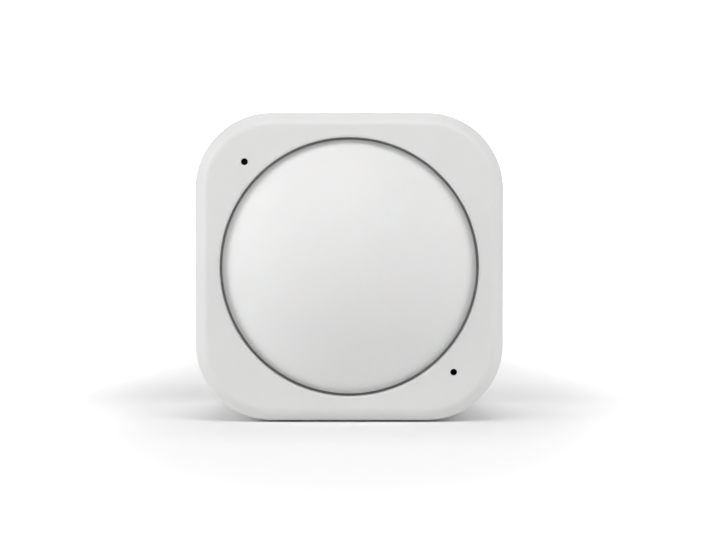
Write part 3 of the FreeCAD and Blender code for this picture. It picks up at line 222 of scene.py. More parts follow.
class Wire:
    """A socket in a finish, so that sums on it are written as plain Python."""

    def __init__(self, socket):
        self.socket = socket

    def node(self, kind, settings=None, inputs=None, out=0):
        """Output of a new node of a kind, with its settings and then its inputs given."""
        tree = self.socket.id_data
        made = tree.nodes.new("ShaderNode" + kind)
        for name, value in (settings or {}).items():
            if name == "stops":
                while len(made.color_ramp.elements) < len(value):
                    made.color_ramp.elements.new(0.5)
                for stop, (position, colour) in zip(made.color_ramp.elements, value):
                    stop.position, stop.color = position, (*colour, 1.0)
            else:
                setattr(made, name, value)
        for name, value in (inputs or {}).items():
            if isinstance(value, Wire):
                tree.links.new(value.socket, made.inputs[name])
            else:
                made.inputs[name].default_value = value
        return Wire(made.outputs[out])

    def math(self, operation, *others):
        """One step of sums on this value, with other values after it."""
        return self.node("Math", {"operation": operation}, dict(enumerate((self, *others))))

    def __add__(self, other):
        return self.math("ADD", other)

    def __sub__(self, other):
        return self.math("SUBTRACT", other)

    def __mul__(self, other):
        return self.math("MULTIPLY", other)

    def __pow__(self, other):
        return self.math("POWER", other)

    def __rsub__(self, other):
        return self * -1.0 + other

    def __gt__(self, other):
        return self.math("GREATER_THAN", other)

    __radd__ = __add__
    __rmul__ = __mul__

    def noise(self, scale, detail):
        """Cloudy value with so many spots to the metre, in so many layers of detail."""
        return self.node("TexNoise", {}, {"Vector": self, "Scale": scale, "Detail": detail})

    def colours(self, *stops):
        """Colour from this value, through stops of a value and a colour each."""
        return self.node("ValToRGB", {"stops": stops}, {"Fac": self})

    def mix(self, first, second):
        """The second colour where this value is 1, and the first where it is 0."""
        first, second = ((*c, 1.0) if isinstance(c, tuple) else c for c in (first, second))
        return self.node("Mix", {"data_type": "RGBA"}, {0: self, 6: first, 7: second}, 2)

    def relief(self, height_mm, strength):
        """Surface normal of this value as a height of so many millimetres."""
        inputs = {"Height": self, "Distance": height_mm * MM, "Strength": strength}
        return self.node("Bump", {}, inputs)

    def parts(self):
        """The three numbers of a place, in millimetres."""
        split = self.node("SeparateXYZ", {}, {"Vector": self}).socket.node
        return [Wire(output) * (1 / MM) for output in split.outputs]


def shade(colour, share):
    """A colour made lighter or darker by a share."""
    return tuple(min(1.0, c * share) for c in colour)


def finish(name, surface, steady=None):
    """Material: surface gives what changes from place to place, steady the rest."""
    material = bpy.data.materials.new(name)
    material.use_nodes = True
    tree = material.node_tree
    shader = tree.nodes["Principled BSDF"]
    for socket, value in (steady or {}).items():
        shader.inputs[socket].default_value = value
    where = Wire(tree.nodes.new("ShaderNodeTexCoord").outputs["Object"])
    for socket, wire in surface(where).items():
        tree.links.new(wire.socket, shader.inputs[socket])
    return material


def moulded(colour, roughness=0.42, grain=0.006):
    """Satin moulded plastic: slight clouding of the colour and a fine eroded grain."""
    def surface(where):
        cloud = where.noise(130, 4)
        grains = where.noise(2600, 2)
        return {
            "Base Color": cloud.colours((0.3, shade(colour, 0.985)), (0.7, shade(colour, 1.01))),
            "Roughness": roughness - 0.04 + grains * 0.08,
            "Normal": grains.relief(grain, 0.5),
        }
    return surface


def dressed(made, body, material, angle=32, stands_for=()):
    """Give a piece its finish and soft shading, and let it ride on its body."""
    made.data.materials.clear()
    made.data.materials.append(material)
    made.data.shade_smooth()
    made.data.set_sharp_from_angle(angle=math.radians(angle))
    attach(made, body)
    if stands_for:
        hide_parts(*stands_for)


housing_finish = finish("housing_plastic", moulded(WHITE))
side = [square_ring(*point) for point in softened((
    (TONGUE_INSET, SEAM, 0), (0, SEAM, 0.15), (0, BEVEL, BEVEL_SOFT), (BEVEL, 0, FACE_SOFT),
    (BEVEL + 1.0, 0, 0),
))]
rim = [round_ring(*point) for point in softened((
    (OPENING + 0.9, 0, 0), (OPENING, 0, 0.3), (OPENING, WALL, 0.1), (OPENING + 0.6, WALL, 0),
))]
inside = [square_ring(*point) for point in softened((
    (WALL + 1.5, WALL, 0), (WALL, WALL, 0.5), (WALL, TONGUE_END, 0.1),
    (TONGUE_INSET, TONGUE_END, 0.15), (TONGUE_INSET, SEAM + SEAM_PLAY, 0),
), 4)]
rings = side + between(side[-1], rim[0], 4) + rim + between(rim[-1], inside[0], 2) + inside
housing = skin("housing_shell", rings, loop=True)

# Bosses, webs and ribs start inside the front wall, each kind a little nearer to the face.
RIB_HALF = 0.6
BOSS_ROOT = WALL - 0.5
WEB_ROOT = WALL - 0.7
RIB_ROOT = WALL - 0.9
RIB_INNER = 19.5
RIB_ALONG = HALF - CORNER - RIB_HALF
board_low, board_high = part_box("main_board")
BOARD_FRONT = board_low.y / MM - FRONT
BOARD_BACK = board_high.y / MM - FRONT
fused = []
for x, up in BOSSES:
    fused.append(rod("boss", BOSS_RADIUS, x, up, BOSS_ROOT, BOSS_END))
    to_corner = math.hypot(abs(x) - HALF + CORNER, abs(up) - HALF + CORNER)
    reach = CORNER - WALL / 2 - to_corner
    web = brick("web", 0, reach, -RIB_HALF, RIB_HALF, WEB_ROOT, BOSS_END - 0.05)
    turn = Matrix.Rotation(math.radians(-45 if x > 0 else 135), 4, "Y")
    web.data.transform(
        Matrix.Translation(place(x, up, 0)) @ turn @ Matrix.Translation(-place(0, 0, 0))
    )
    fused.append(web)
for along in (-RIB_ALONG, RIB_ALONG):
    for way in (-1, 1):
        span = sorted((way * RIB_INNER, way * (HALF - WALL / 2)))
        beside = (along - RIB_HALF, along + RIB_HALF)
        fused.append(brick("rib", *span, *beside, RIB_ROOT, BOARD_BACK, 0.05))
        fused.append(brick("rib", *beside, *span, RIB_ROOT, BOARD_BACK, 0.05))
joined(housing, fused, "UNION")

# Holes for the screws, the light, the air, the flap, the inlet and the button.
SCREW_HOLE_RADIUS = 1.05
SCREW_HOLE_FROM = 7.7
PINHOLE_RADIUS = 0.49
PINHOLE_LENGTH = 1.0
COUNTERBORE_RADIUS = 1.1
USB_UP = -5.2
USB_DEPTH = 9.7
MOUTH_HALF_LENGTH = 4.05
MOUTH_HALF_WIDTH = 1.6
HOLES_FROM = 18.0
FLAP_TOP = -0.2
FLAP_LENGTH = 10.2
FLAP_WIDTH = 4.6
FLAP_INNER = 20.85
BUTTON_UP = 6.0
BUTTON_DEPTH = 8.0
BUTTON_RADIUS = 2.0
PLAY = 0.1
cutters = [
    rod("screw_hole", SCREW_HOLE_RADIUS, x, up, SCREW_HOLE_FROM, BOSS_END + 1, 24)
    for x, up in BOSSES
]
for x, up in PINHOLES:
    cutters.append(rod("pinhole", PINHOLE_RADIUS, x, up, -1, PINHOLE_LENGTH + 0.1))
    cutters.append(rod("counterbore", COUNTERBORE_RADIUS, x, up, PINHOLE_LENGTH, WALL + 1))
cutters.append(brick(
    "flap_pocket", FLAP_INNER - PLAY, HALF + 1.5, FLAP_TOP - FLAP_LENGTH - PLAY, FLAP_TOP + PLAY,
    USB_DEPTH - FLAP_WIDTH / 2 - PLAY, USB_DEPTH + FLAP_WIDTH / 2 + PLAY, 0.5, 4,
))
cutters.append(brick(
    "usb_mouth", HOLES_FROM, HALF, USB_UP - MOUTH_HALF_LENGTH, USB_UP + MOUTH_HALF_LENGTH,
    USB_DEPTH - MOUTH_HALF_WIDTH, USB_DEPTH + MOUTH_HALF_WIDTH, 0.3,
))
cutters.append(turned("button_hole", softened((
    (BUTTON_RADIUS + PLAY, HOLES_FROM, 0), (BUTTON_RADIUS + PLAY, HALF - 0.15, 0.2),
    (BUTTON_RADIUS + 0.6, HALF + 0.35, 0),
)), BUTTON_DEPTH, BUTTON_UP, 64, True, (True, True)))
joined(housing, cutters)
dressed(housing, "housing", housing_finish, 24, ("front_housing",))


# DOME LENS
# The lens is moulded from a milky plastic that passes heat rays. It is smooth and satin outside,
# cut into flat segments inside, and clamped by its flange behind the front wall.
LENS_GAP = 0.35
LENS_RADIUS = OPENING - LENS_GAP
LENS_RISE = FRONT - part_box("fresnel_dome")[0].y / MM
LENS_SINK = 1.5
LENS_RISE_ALL = LENS_RISE + LENS_SINK
SPHERE = (LENS_RADIUS ** 2 + LENS_RISE_ALL ** 2) / (2 * LENS_RISE_ALL)
SPHERE_DEPTH = SPHERE - LENS_RISE
SPHERE_ANGLE = math.asin(LENS_RADIUS / SPHERE)
LENS_WALL = 1.2
LENS_INNER = LENS_RADIUS - 1.25
FLANGE_RADIUS = LENS_RADIUS + 1.45
FLANGE_BACK = 3.0
RELIEF_FRONT = WALL - 0.2
RELIEF_BACK = FLANGE_BACK + 0.5
VENT_RELIEF_RADIUS = 2.1
SEGMENT_TILT = 14.0
LENS_STEPS = 160
OUTER_ROWS = 48
INNER_ROWS = 44
INNER_TILT = 49.0
EDGE_LINE = 0.02
DOME_WHITE = (0.86, 0.86, 0.855)
# Grey painted on the lens below the front wall's rim, as shade in the gap around it.
LENS_RIM_PAINTED_SHADE = (0.41, 0.41, 0.41)


def segment_ways():
    """Directions that the flat segments inside the lens look in, ring by ring."""
    ways = [Vector((0, -1, 0))]
    for ring in (1, 2, 3):
        tilt = math.radians(SEGMENT_TILT * ring)
        for index in range(6 * ring):
            turn = 2 * math.pi * (index + 0.5 * (ring % 2)) / (6 * ring)
            flat = Vector((math.cos(turn), 0, math.sin(turn))) * math.sin(tilt)
            ways.append(flat + Vector((0, -math.cos(tilt), 0)))
    return ways


def lens_inside(tilt, turn):
    """Point of the segmented inner face in one direction from the middle of the sphere."""
    way = Vector((math.cos(turn), 0, math.sin(turn))) * math.sin(tilt)
    way += Vector((0, -math.cos(tilt), 0))
    reach = min((SPHERE - LENS_WALL) / max(way.dot(w), 0.1) for w in WAYS)
    reach = min(reach, LENS_INNER / max(math.sin(tilt), 0.01))
    return place(way.x * reach, way.z * reach, SPHERE_DEPTH + way.y * reach)


WAYS = segment_ways()
turns = [2 * math.pi * step / LENS_STEPS for step in range(LENS_STEPS)]
rings = []
for step in range(1, OUTER_ROWS + 1):
    tilt = SPHERE_ANGLE * step / OUTER_ROWS
    depth = SPHERE_DEPTH - SPHERE * math.cos(tilt)
    rings.append(round_ring(SPHERE * math.sin(tilt), depth, angles=turns))
foot = softened((
    (LENS_RADIUS, LENS_SINK + 0.05, 0), (LENS_RADIUS, WALL, 0.05), (FLANGE_RADIUS, WALL, 0.1),
    (FLANGE_RADIUS, FLANGE_BACK, 0.1), (LENS_INNER, FLANGE_BACK, 0.1),
    (LENS_INNER, FLANGE_BACK - 0.3, 0),
), 3, 0.03)
rings += [round_ring(r, depth, angles=turns) for r, depth in foot]
for step in range(INNER_ROWS, 0, -1):
    tilt = math.radians(INNER_TILT) * step / INNER_ROWS
    rings.append([lens_inside(tilt, turn) for turn in turns])
lens = skin("dome_lens", rings, poles=(place(0, 0, -LENS_RISE), lens_inside(0, 0)))
reliefs = [
    rod("relief", BOSS_RADIUS + 0.3, x, up, RELIEF_FRONT, RELIEF_BACK) for x, up in BOSSES
]
reliefs.append(rod("relief", VENT_RELIEF_RADIUS, *PINHOLES[1], RELIEF_FRONT, RELIEF_BACK))
joined(lens, reliefs)


def milky(where):
    """Smooth milky plastic with faint flow marks. Below the front wall's rim it is painted grey as
    shade, so that the gap around the lens shows as dark as in the photograph."""
    x, y, z = where.parts()
    flow = where.noise(55, 4)
    clear = flow.colours((0.25, shade(DOME_WHITE, 0.99)), (0.75, shade(DOME_WHITE, 1.005)))
    radius = (x * x + (z - CENTRE) * (z - CENTRE)) ** 0.5
    # Painted shade: where the lens lies hidden behind the front wall's rim, its colour is grey.
    painted_shade_below_rim = (radius > LENS_RADIUS - EDGE_LINE) * (y > FRONT + LENS_SINK + EDGE_LINE)
    return {
        "Base Color": painted_shade_below_rim.mix(clear, LENS_RIM_PAINTED_SHADE),
        "Roughness": 0.45 + where.noise(900, 2) * 0.05,
        "Normal": where.noise(240, 2).relief(0.004, 0.3),
    }


dome_finish = finish("dome_plastic", milky, {
    "Subsurface Weight": 0.15, "Subsurface Scale": 0.001, "Specular IOR Level": 0.35,
})
dressed(lens, "housing", dome_finish, 24, ("fresnel_dome",))


# STATUS LIGHT AND AIR PORT
# Behind the upper left pinhole a smoked light guide stands on the light; behind the lower right
# one a foam ring and a thin breathing membrane keep dust out of the air port.
GUIDE_RADIUS = 1.0
GUIDE_FRONT = PINHOLE_LENGTH + 0.12
GUIDE_BACK = 10.08
COLLAR_RADIUS = 1.5
COLLAR_FRONT = 4.62
COLLAR_BACK = 5.38
SEAL_FRONT = WALL + 0.02
SEAL_BACK = 2.68
SEAL_RADIUS = 1.88
SEAL_BORE = 1.12
BROKEN_EDGE = 0.05
FOAM_GREY = (0.085, 0.085, 0.09)


def smoked(where):
    """Dark clear plastic, a little hazy at its cut ends."""
    haze = where.noise(1500, 2)
    return {
        "Base Color": haze.colours((0.2, (0.003,) * 3), (0.8, (0.006,) * 3)),
        "Roughness": 0.5 + haze * 0.2,
    }


def foam(where):
    """Open foam: round cells with dark pores between lighter webs."""
    cells = where.node("TexVoronoi", {"feature": "F1"}, {"Vector": where, "Scale": 2600.0})
    coarse = where.noise(500, 3)
    return {
        "Base Color": (cells * 0.8 + coarse * 0.3).colours(
            (0.15, shade(FOAM_GREY, 0.35)), (0.8, shade(FOAM_GREY, 1.5))
        ),
        "Roughness": 0.85 + coarse * 0.1,
        "Normal": cells.relief(0.12, 0.7),
    }


def woven(where):
    """Fine dark membrane with a close weave."""
    x, _, z = where.parts()
    thread = (x * 21).math("SINE") * (z * 21).math("SINE")
    return {
        "Base Color": thread.colours((0.3, (0.015,) * 3), (0.7, (0.03,) * 3)),
        "Roughness": 0.7 + thread * 0.1,
        "Normal": thread.relief(0.01, 0.5),
    }


foam_finish = finish("foam", foam)
guide = turned("light_guide", softened((
    (0, GUIDE_FRONT, 0), (GUIDE_RADIUS, GUIDE_FRONT, 0.08), (GUIDE_RADIUS, COLLAR_FRONT, 0.02),
    (COLLAR_RADIUS, COLLAR_FRONT, 0.08), (COLLAR_RADIUS, COLLAR_BACK, 0.08),
    (GUIDE_RADIUS, COLLAR_BACK, 0.02), (GUIDE_RADIUS, GUIDE_BACK, 0.1), (0, GUIDE_BACK, 0),
))[1:-1], *PINHOLES[0], 48, False, (True, True))
smoked_finish = finish("smoked_plastic", smoked, {"Specular IOR Level": 0.08})
dressed(guide, "housing", smoked_finish, 35, ("light_pipe",))
seal = turned("port_seal", softened((
    (SEAL_BORE + 0.03, SEAL_FRONT, 0), (SEAL_RADIUS, SEAL_FRONT, 0.1),
    (SEAL_RADIUS, SEAL_BACK, 0.1), (SEAL_BORE, SEAL_BACK, 0.1), (SEAL_BORE, SEAL_FRONT + 0.08, 0),
)), *PINHOLES[1], 48)
dressed(seal, "housing", foam_finish, 60, ("vent_gasket",))


def coated(node, material):
    """Give a piece that keeps its own solid its finish, with fine edges broken."""
    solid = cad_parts[node]
    for material_slot in solid.material_slots:
        material_slot.material = material
    weld = solid.modifiers.new("weld", "WELD")
    weld.merge_threshold = SLIVER * MM
    edge = solid.modifiers.new("edge", "BEVEL")
    edge.width, edge.segments, edge.limit_method = BROKEN_EDGE * MM, 2, "ANGLE"
    edge.angle_limit = math.radians(40)
    edge.harden_normals = True


coated("vent_membrane", finish("membrane", woven))


# LENS CARRIER
# A black ring moulded with four posts and two ears. It presses the lens flange against the
# front wall and stands on the circuit board, so that no light strays between the pieces.
black_finish = finish("black_plastic", moulded((0.022, 0.022, 0.024), 0.5, 0.01))
coated("lens_carrier", black_finish)


# CIRCUIT BOARD
# A green lacquered glass fibre board whose copper tracks show through the lacquer. It lies on
# the posts of the battery tray and is clamped by the posts of the lens carrier.
BOARD_GREEN = (0.012, 0.105, 0.045)


def lacquered(where):
    """Green lacquer over tracks: straight runs along two directions, a little raised."""
    x, _, z = where.parts()
    cells = where.node("TexVoronoi", {"feature": "F1", "distance": "CHEBYCHEV"}, {
        "Vector": where, "Scale": 260.0, "Randomness": 0.55,
    })
    runs = (x * 4.2 + cells * 6.0).math("SINE") > 0.55
    lanes = (z * 4.2 + cells * 6.0).math("SINE") > 0.7
    tracks = runs.math("MAXIMUM", lanes)
    cloud = where.noise(300, 3)
    base = cloud.colours((0.3, shade(BOARD_GREEN, 0.9)), (0.7, shade(BOARD_GREEN, 1.1)))
    return {
        "Base Color": tracks.mix(base, shade(BOARD_GREEN, 1.6)),
        "Roughness": 0.28 + cloud * 0.1,
        "Normal": tracks.relief(0.03, 0.6),
    }


coated("main_board", finish("board_lacquer", lacquered))


# MOTION SENSING ELEMENT
# A tinned can with a dark filter in its window. Three leads pass through a plastic spacer and
# the board, so that the sensing face lies in the focus of the lens.
def metal(colour, roughness, tooling=0.0):
    """Sheet or turned metal: cloudy lustre over the fine relief that the tools left."""
    def surface(where):
        fine = where.noise(300, 4)
        cloud = where.noise(220, 3)
        return {
            "Base Color": cloud.colours((0.3, shade(colour, 0.93)), (0.7, shade(colour, 1.04))),
            "Roughness": roughness - 0.06 + fine * 0.12,
            "Normal": fine.relief(0.004 + tooling, 0.4),
        }
    return surface


METALLIC = {"Metallic": 1.0}
lead_finish = finish("nickel", metal((0.72, 0.71, 0.68), 0.25), METALLIC)
tin_finish = finish("tinned_sheet", metal((0.66, 0.66, 0.65), 0.32, 0.002), METALLIC)
coated("pir_can", tin_finish)
coated("pir_leads", lead_finish)
coated("pir_spacer", black_finish)


def filtered(where):
    """Dark polished filter with a faint purple cast."""
    sheen = where.noise(700, 2)
    return {
        "Base Color": sheen.colours((0.3, (0.03, 0.022, 0.035)), (0.7, (0.045, 0.032, 0.05))),
        "Roughness": 0.08 + sheen * 0.05,
    }


coated("pir_window", finish("filter", filtered, {"Coat Weight": 0.6}))


# SENSORS, STATUS LIGHT AND RADIO
# Small parts soldered flat to the front of the board: moulded chips with tinned legs, a drawn
# tin shield over the radio, a ceramic antenna block and two round capacitors.
def small_parts(name, body, material, boxes, edge=0.04):
    """One piece made of many small like blocks, such as legs or pads."""
    made = None
    for box in boxes:
        block = brick("block", *box, edge, 2)
        if made is None:
            made = block
            made.name = name
            continue
        mesh = bmesh.new()
        mesh.from_mesh(made.data)
        mesh.from_mesh(block.data)
        mesh.to_mesh(made.data)
        mesh.free()
        bpy.data.objects.remove(block)
    dressed(made, body, material)


def marked(colour, spot, radius, spot_colour):
    """Moulded chip with a round window or mark on its face."""
    def surface(where):
        x, _, z = where.parts()
        away_x, away_z = x - spot[0], z - (CENTRE + spot[1])
        mark = (radius - (away_x * away_x + away_z * away_z) ** 0.5) > 0.0
        grains = where.noise(1800, 2)
        base = grains.colours((0.3, shade(colour, 0.92)), (0.7, shade(colour, 1.08)))
        return {
            "Base Color": mark.mix(base, spot_colour),
            "Roughness": 0.5 - mark * 0.3,
            "Normal": grains.relief(0.01, 0.4),
        }
    return surface


CHIP_BLACK = (0.02, 0.02, 0.022)
for node, slot, colour, radius, spot_colour in (
    ("light_sensor", "chip_black", (0.35, 0.33, 0.28), 0.45, (0.02, 0.02, 0.05)),
    ("uv_sensor", "chip_black", (0.42, 0.40, 0.34), 0.55, (0.03, 0.03, 0.06)),
    ("climate_sensor", "can_metal", (0.55, 0.56, 0.56), 0.28, (0.01, 0.01, 0.01)),
    ("vibration_sensor", "chip_black", CHIP_BLACK, 0.3, (0.3, 0.3, 0.3)),
    ("status_led", "led_white", (0.72, 0.70, 0.60), 0.5, (0.75, 0.62, 0.2)),
    ("microcontroller", "chip_black", CHIP_BLACK, 0.0, CHIP_BLACK),
    ("crystal", "can_metal", (0.60, 0.60, 0.58), 0.0, CHIP_BLACK),
    ("antenna", "ceramic_white", (0.70, 0.72, 0.74), 0.7, (0.55, 0.56, 0.56)),
):
    low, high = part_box(node)
    middle = (low + high) / 2 / MM
    surface = marked(colour, (middle.x, middle.z - CENTRE), radius, spot_colour)
    coated(node, finish(node + "_finish", surface))
coated("radio_shield", tin_finish)
can_finish = finish("drawn_aluminium", metal((0.74, 0.75, 0.76), 0.22, 0.001), METALLIC)
coated("capacitors", can_finish)
low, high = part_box("microcontroller")
chip_x, chip_up = (low.x + high.x) / 2 / MM, (low.z + high.z) / 2 / MM - CENTRE
half = (high.x - low.x) / 2 / MM
LEG_PITCH = 0.5
LEG_HALF = 0.11
LEG_REACH = 0.35
LEG_HEIGHT = 0.25
legs = []
for step in range(-6, 7):
    beside = (step * LEG_PITCH - LEG_HALF, step * LEG_PITCH + LEG_HALF)
    for way in (-1, 1):
        out = sorted((way * half, way * (half + LEG_REACH)))
        for across, along in ((out, beside), (beside, out)):
            spans = [chip_x + x for x in across] + [chip_up + up for up in along]
            legs.append((*spans, BOARD_FRONT - LEG_HEIGHT, BOARD_FRONT))
small_parts("chip_legs", "housing", lead_finish, legs)
CAPACITOR_HALF_LENGTH = 0.5
CAPACITOR_HALF_WIDTH = 0.25
CAPACITOR_FRONT = BOARD_FRONT - 0.45
CAPACITOR_END = 0.16
END_SKIN = 0.01
blocks, ends = [], []
for x, up in (
    (-6.6, -8.4), (-6.6, -7.4), (4.1, -13.4), (4.1, -12.2), (4.1, -11.0), (-13.0, 8.2),
    (-13.0, 7.0), (3.0, 9.3), (5.0, 9.3), (7.4, 5.2), (7.4, 4.0), (-5.0, 7.2), (-3.4, 9.6),
):
    left, right = x - CAPACITOR_HALF_LENGTH, x + CAPACITOR_HALF_LENGTH
    lower, upper = up - CAPACITOR_HALF_WIDTH, up + CAPACITOR_HALF_WIDTH
    blocks.append((left, right, lower, upper, CAPACITOR_FRONT, BOARD_FRONT))
    for start in (left, right - CAPACITOR_END):
        ends.append((
            start, start + CAPACITOR_END, lower - END_SKIN, upper + END_SKIN,
            CAPACITOR_FRONT - END_SKIN, BOARD_FRONT,
        ))
ceramic_finish = finish("brown_ceramic", moulded((0.16, 0.11, 0.07), 0.4, 0.004))
small_parts("board_capacitors", "housing", ceramic_finish, blocks)
small_parts("board_capacitor_ends", "housing", lead_finish, ends, 0.02)


# SUPPLY INLET AND ITS FLAP
# A folded steel shell with a black tongue and gilt strips, soldered to the board. A soft white
# flap with a plug closes it. The flap turns on two stubs moulded on its upper end.
coated("usb_socket", tin_finish)
coated("usb_tongue", black_finish)
gilt_finish = finish("gilt", metal((0.80, 0.62, 0.30), 0.2), METALLIC)
STRIP_PITCH = 0.85
STRIP_HALF = 0.2
low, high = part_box("usb_tongue")
tongue_front = low.y / MM - FRONT
strips = []
for step in range(-2, 3):
    up = USB_UP + step * STRIP_PITCH
    strips.append((
        low.x / MM + 0.8, high.x / MM - 0.15, up - STRIP_HALF, up + STRIP_HALF,
        tongue_front - 0.05, tongue_front + 0.02,
    ))
small_parts("inlet_strips", "housing", gilt_finish, strips, 0.02)
HINGE_X = 21.35
HINGE_UP = -0.8
STUB_RADIUS = 0.3
STUB_LENGTH = 0.5
ROLL_RADIUS = 0.6
PLUG_HALF_LENGTH = 3.75
PLUG_HALF_WIDTH = 1.3
NOTCH_HALF = 1.3
FLAP_OUTER = HALF - 0.05
FLAP_END = FLAP_TOP - FLAP_LENGTH
depths = (USB_DEPTH - FLAP_WIDTH / 2, USB_DEPTH + FLAP_WIDTH / 2)
flap = brick("inlet_flap", FLAP_INNER, FLAP_OUTER, FLAP_END, HINGE_UP, *depths, 0.35, 4)
plug = brick(
    "plug", FLAP_INNER - 0.75, FLAP_INNER + 0.3, USB_UP - PLUG_HALF_LENGTH,
    USB_UP + PLUG_HALF_LENGTH, USB_DEPTH - PLUG_HALF_WIDTH, USB_DEPTH + PLUG_HALF_WIDTH, 0.25,
)
stub_line = [(STUB_RADIUS, depths[0] - STUB_LENGTH), (STUB_RADIUS, depths[1] + STUB_LENGTH)]
roll_line = [(ROLL_RADIUS, depths[0]), (ROLL_RADIUS, depths[1])]
stubs = turned("stubs", stub_line, HINGE_X, HINGE_UP, 24, False, (True, True))
roll = turned("roll", roll_line, HINGE_X, HINGE_UP, 32, False, (True, True))
joined(flap, [plug, stubs, roll], "UNION")
joined(flap, [brick(
    "nail_notch", FLAP_OUTER - 0.35, FLAP_OUTER + 1, FLAP_END - 1, FLAP_END + 0.55,
    USB_DEPTH - NOTCH_HALF, USB_DEPTH + NOTCH_HALF, 0.2,
)])
soft_finish = finish("soft_white", moulded((0.76, 0.76, 0.752), 0.6, 0.008))
dressed(flap, "flap", soft_finish, 40, ("usb_flap",))


# ACTION BUTTON
# A round white button with a shallow dish, held behind the wall by its stop flange. Its stem
# pushes the black plunger of a side switch that stands on the board.
STEM_END = 18.6
STEM_RADIUS = 1.2
STOP_FROM = 19.2
STOP_TO = 19.9
STOP_RADIUS = 2.6
BUTTON_TOP = 21.9
DISH = 0.18
button = turned("round_button", softened((
    (0, STEM_END, 0), (STEM_RADIUS, STEM_END, 0.1), (STEM_RADIUS, STOP_FROM, 0.05),
    (STOP_RADIUS, STOP_FROM, 0.1), (STOP_RADIUS, STOP_TO, 0.1), (BUTTON_RADIUS, STOP_TO, 0.05),
    (BUTTON_RADIUS, BUTTON_TOP, 0.3), (1.3, BUTTON_TOP - 0.04, 0.6), (0, BUTTON_TOP - DISH, 0),
))[1:-1], BUTTON_DEPTH, BUTTON_UP, 64, True, (True, True))
dressed(button, "button", housing_finish, 35, ("action_button",))
coated("button_switch", black_finish)
coated("switch_plunger", black_finish)


# BATTERY TRAY
# A white moulded tray with hollowed ribs under the cells and a notched wall for the lock. Two
# zinc plated screws with a cross recess hold it on the bosses of the front housing.
tray_finish = finish("tray_plastic", moulded((0.74, 0.74, 0.732), 0.5, 0.008))
coated("battery_tray", tray_finish)
zinc_finish = finish("zinc", metal((0.62, 0.63, 0.65), 0.3, 0.002), METALLIC)
TRAY_FLOOR_BACK = 15.0
SCREW_TIP = 8.0
SCREW_RADIUS = 1.0
HEAD_RADIUS = 1.9
HEAD_TOP = TRAY_FLOOR_BACK + 1.2
for index, (x, up) in enumerate(BOSSES):
    profile = softened((
        (0, SCREW_TIP, 0), (SCREW_RADIUS - 0.3, SCREW_TIP, 0),
        (SCREW_RADIUS, SCREW_TIP + 0.7, 0.1), (SCREW_RADIUS, TRAY_FLOOR_BACK, 0.05),
        (HEAD_RADIUS, TRAY_FLOOR_BACK, 0.08), (HEAD_RADIUS, HEAD_TOP - 0.25, 0.5),
        (HEAD_RADIUS - 0.6, HEAD_TOP, 0.3), (0, HEAD_TOP, 0),
    ))[1:-1]
    screw = turned("tray_screw_%d" % (index + 1), profile, x, up, 40, False, (True, True))
    cross = [
        brick("slot", x - a, x + a, up - b, up + b, HEAD_TOP - deep, HEAD_TOP + 1, 0.08, 2)
        for a, b, deep in ((1.15, 0.25, 0.5), (0.25, 1.15, 0.53))
    ]
    joined(screw, cross)
    dressed(screw, "housing", zinc_finish, 35, ("tray_screws",))


# CELLS
# Two lithium cells, each a drawn steel can with a crimped button end, in a shrunk grey sleeve
# that folds over the edges. They lie side by side the opposite way round.
CELL_RADIUS = 8.5
CELL_DEPTH = 23.6
CELL_UP = 8.6
CELL_BODY = 33.4
CONTACT_X = 18.3
CAN_RADIUS = CELL_RADIUS - 0.15
FOOT_RADIUS = 5.6
CRIMP_RADIUS = 6.9
CRIMP_DEPTH = 0.35
NUB = 1.1
NUB_RADIUS = 3.0
WASHER_INNER = 3.6
WASHER_OUTER = 6.5
SLEEVE_WALL = 0.13
BAND_FROM = 7.5
LINE_FROM = 7.2
cell_can_finish = finish("cell_can", metal((0.70, 0.70, 0.71), 0.24, 0.001), METALLIC)


def sleeved(where):
    """Shrink sleeve: dark grey with a pale band near the button end, faint wrinkles."""
    x, _, z = where.parts()
    upper = (z - CENTRE) > 0.0
    along = (upper * 2 - 1) * x
    band = (along - BAND_FROM) > 0.0
    edge = ((along - LINE_FROM) > 0.0) - band
    drawn_out = where.node("Mapping", {}, {"Vector": where, "Scale": (90, 420, 420)})
    wrinkle = drawn_out.noise(1.0, 1)
    base = wrinkle.colours((0.3, (0.055, 0.06, 0.07)), (0.7, (0.07, 0.076, 0.088)))
    painted = band.mix(base, (0.36, 0.37, 0.38))
    return {
        "Base Color": edge.mix(painted, (0.62, 0.62, 0.62)),
        "Roughness": 0.24 + wrinkle * 0.12,
        "Normal": wrinkle.relief(0.03, 0.2),
    }


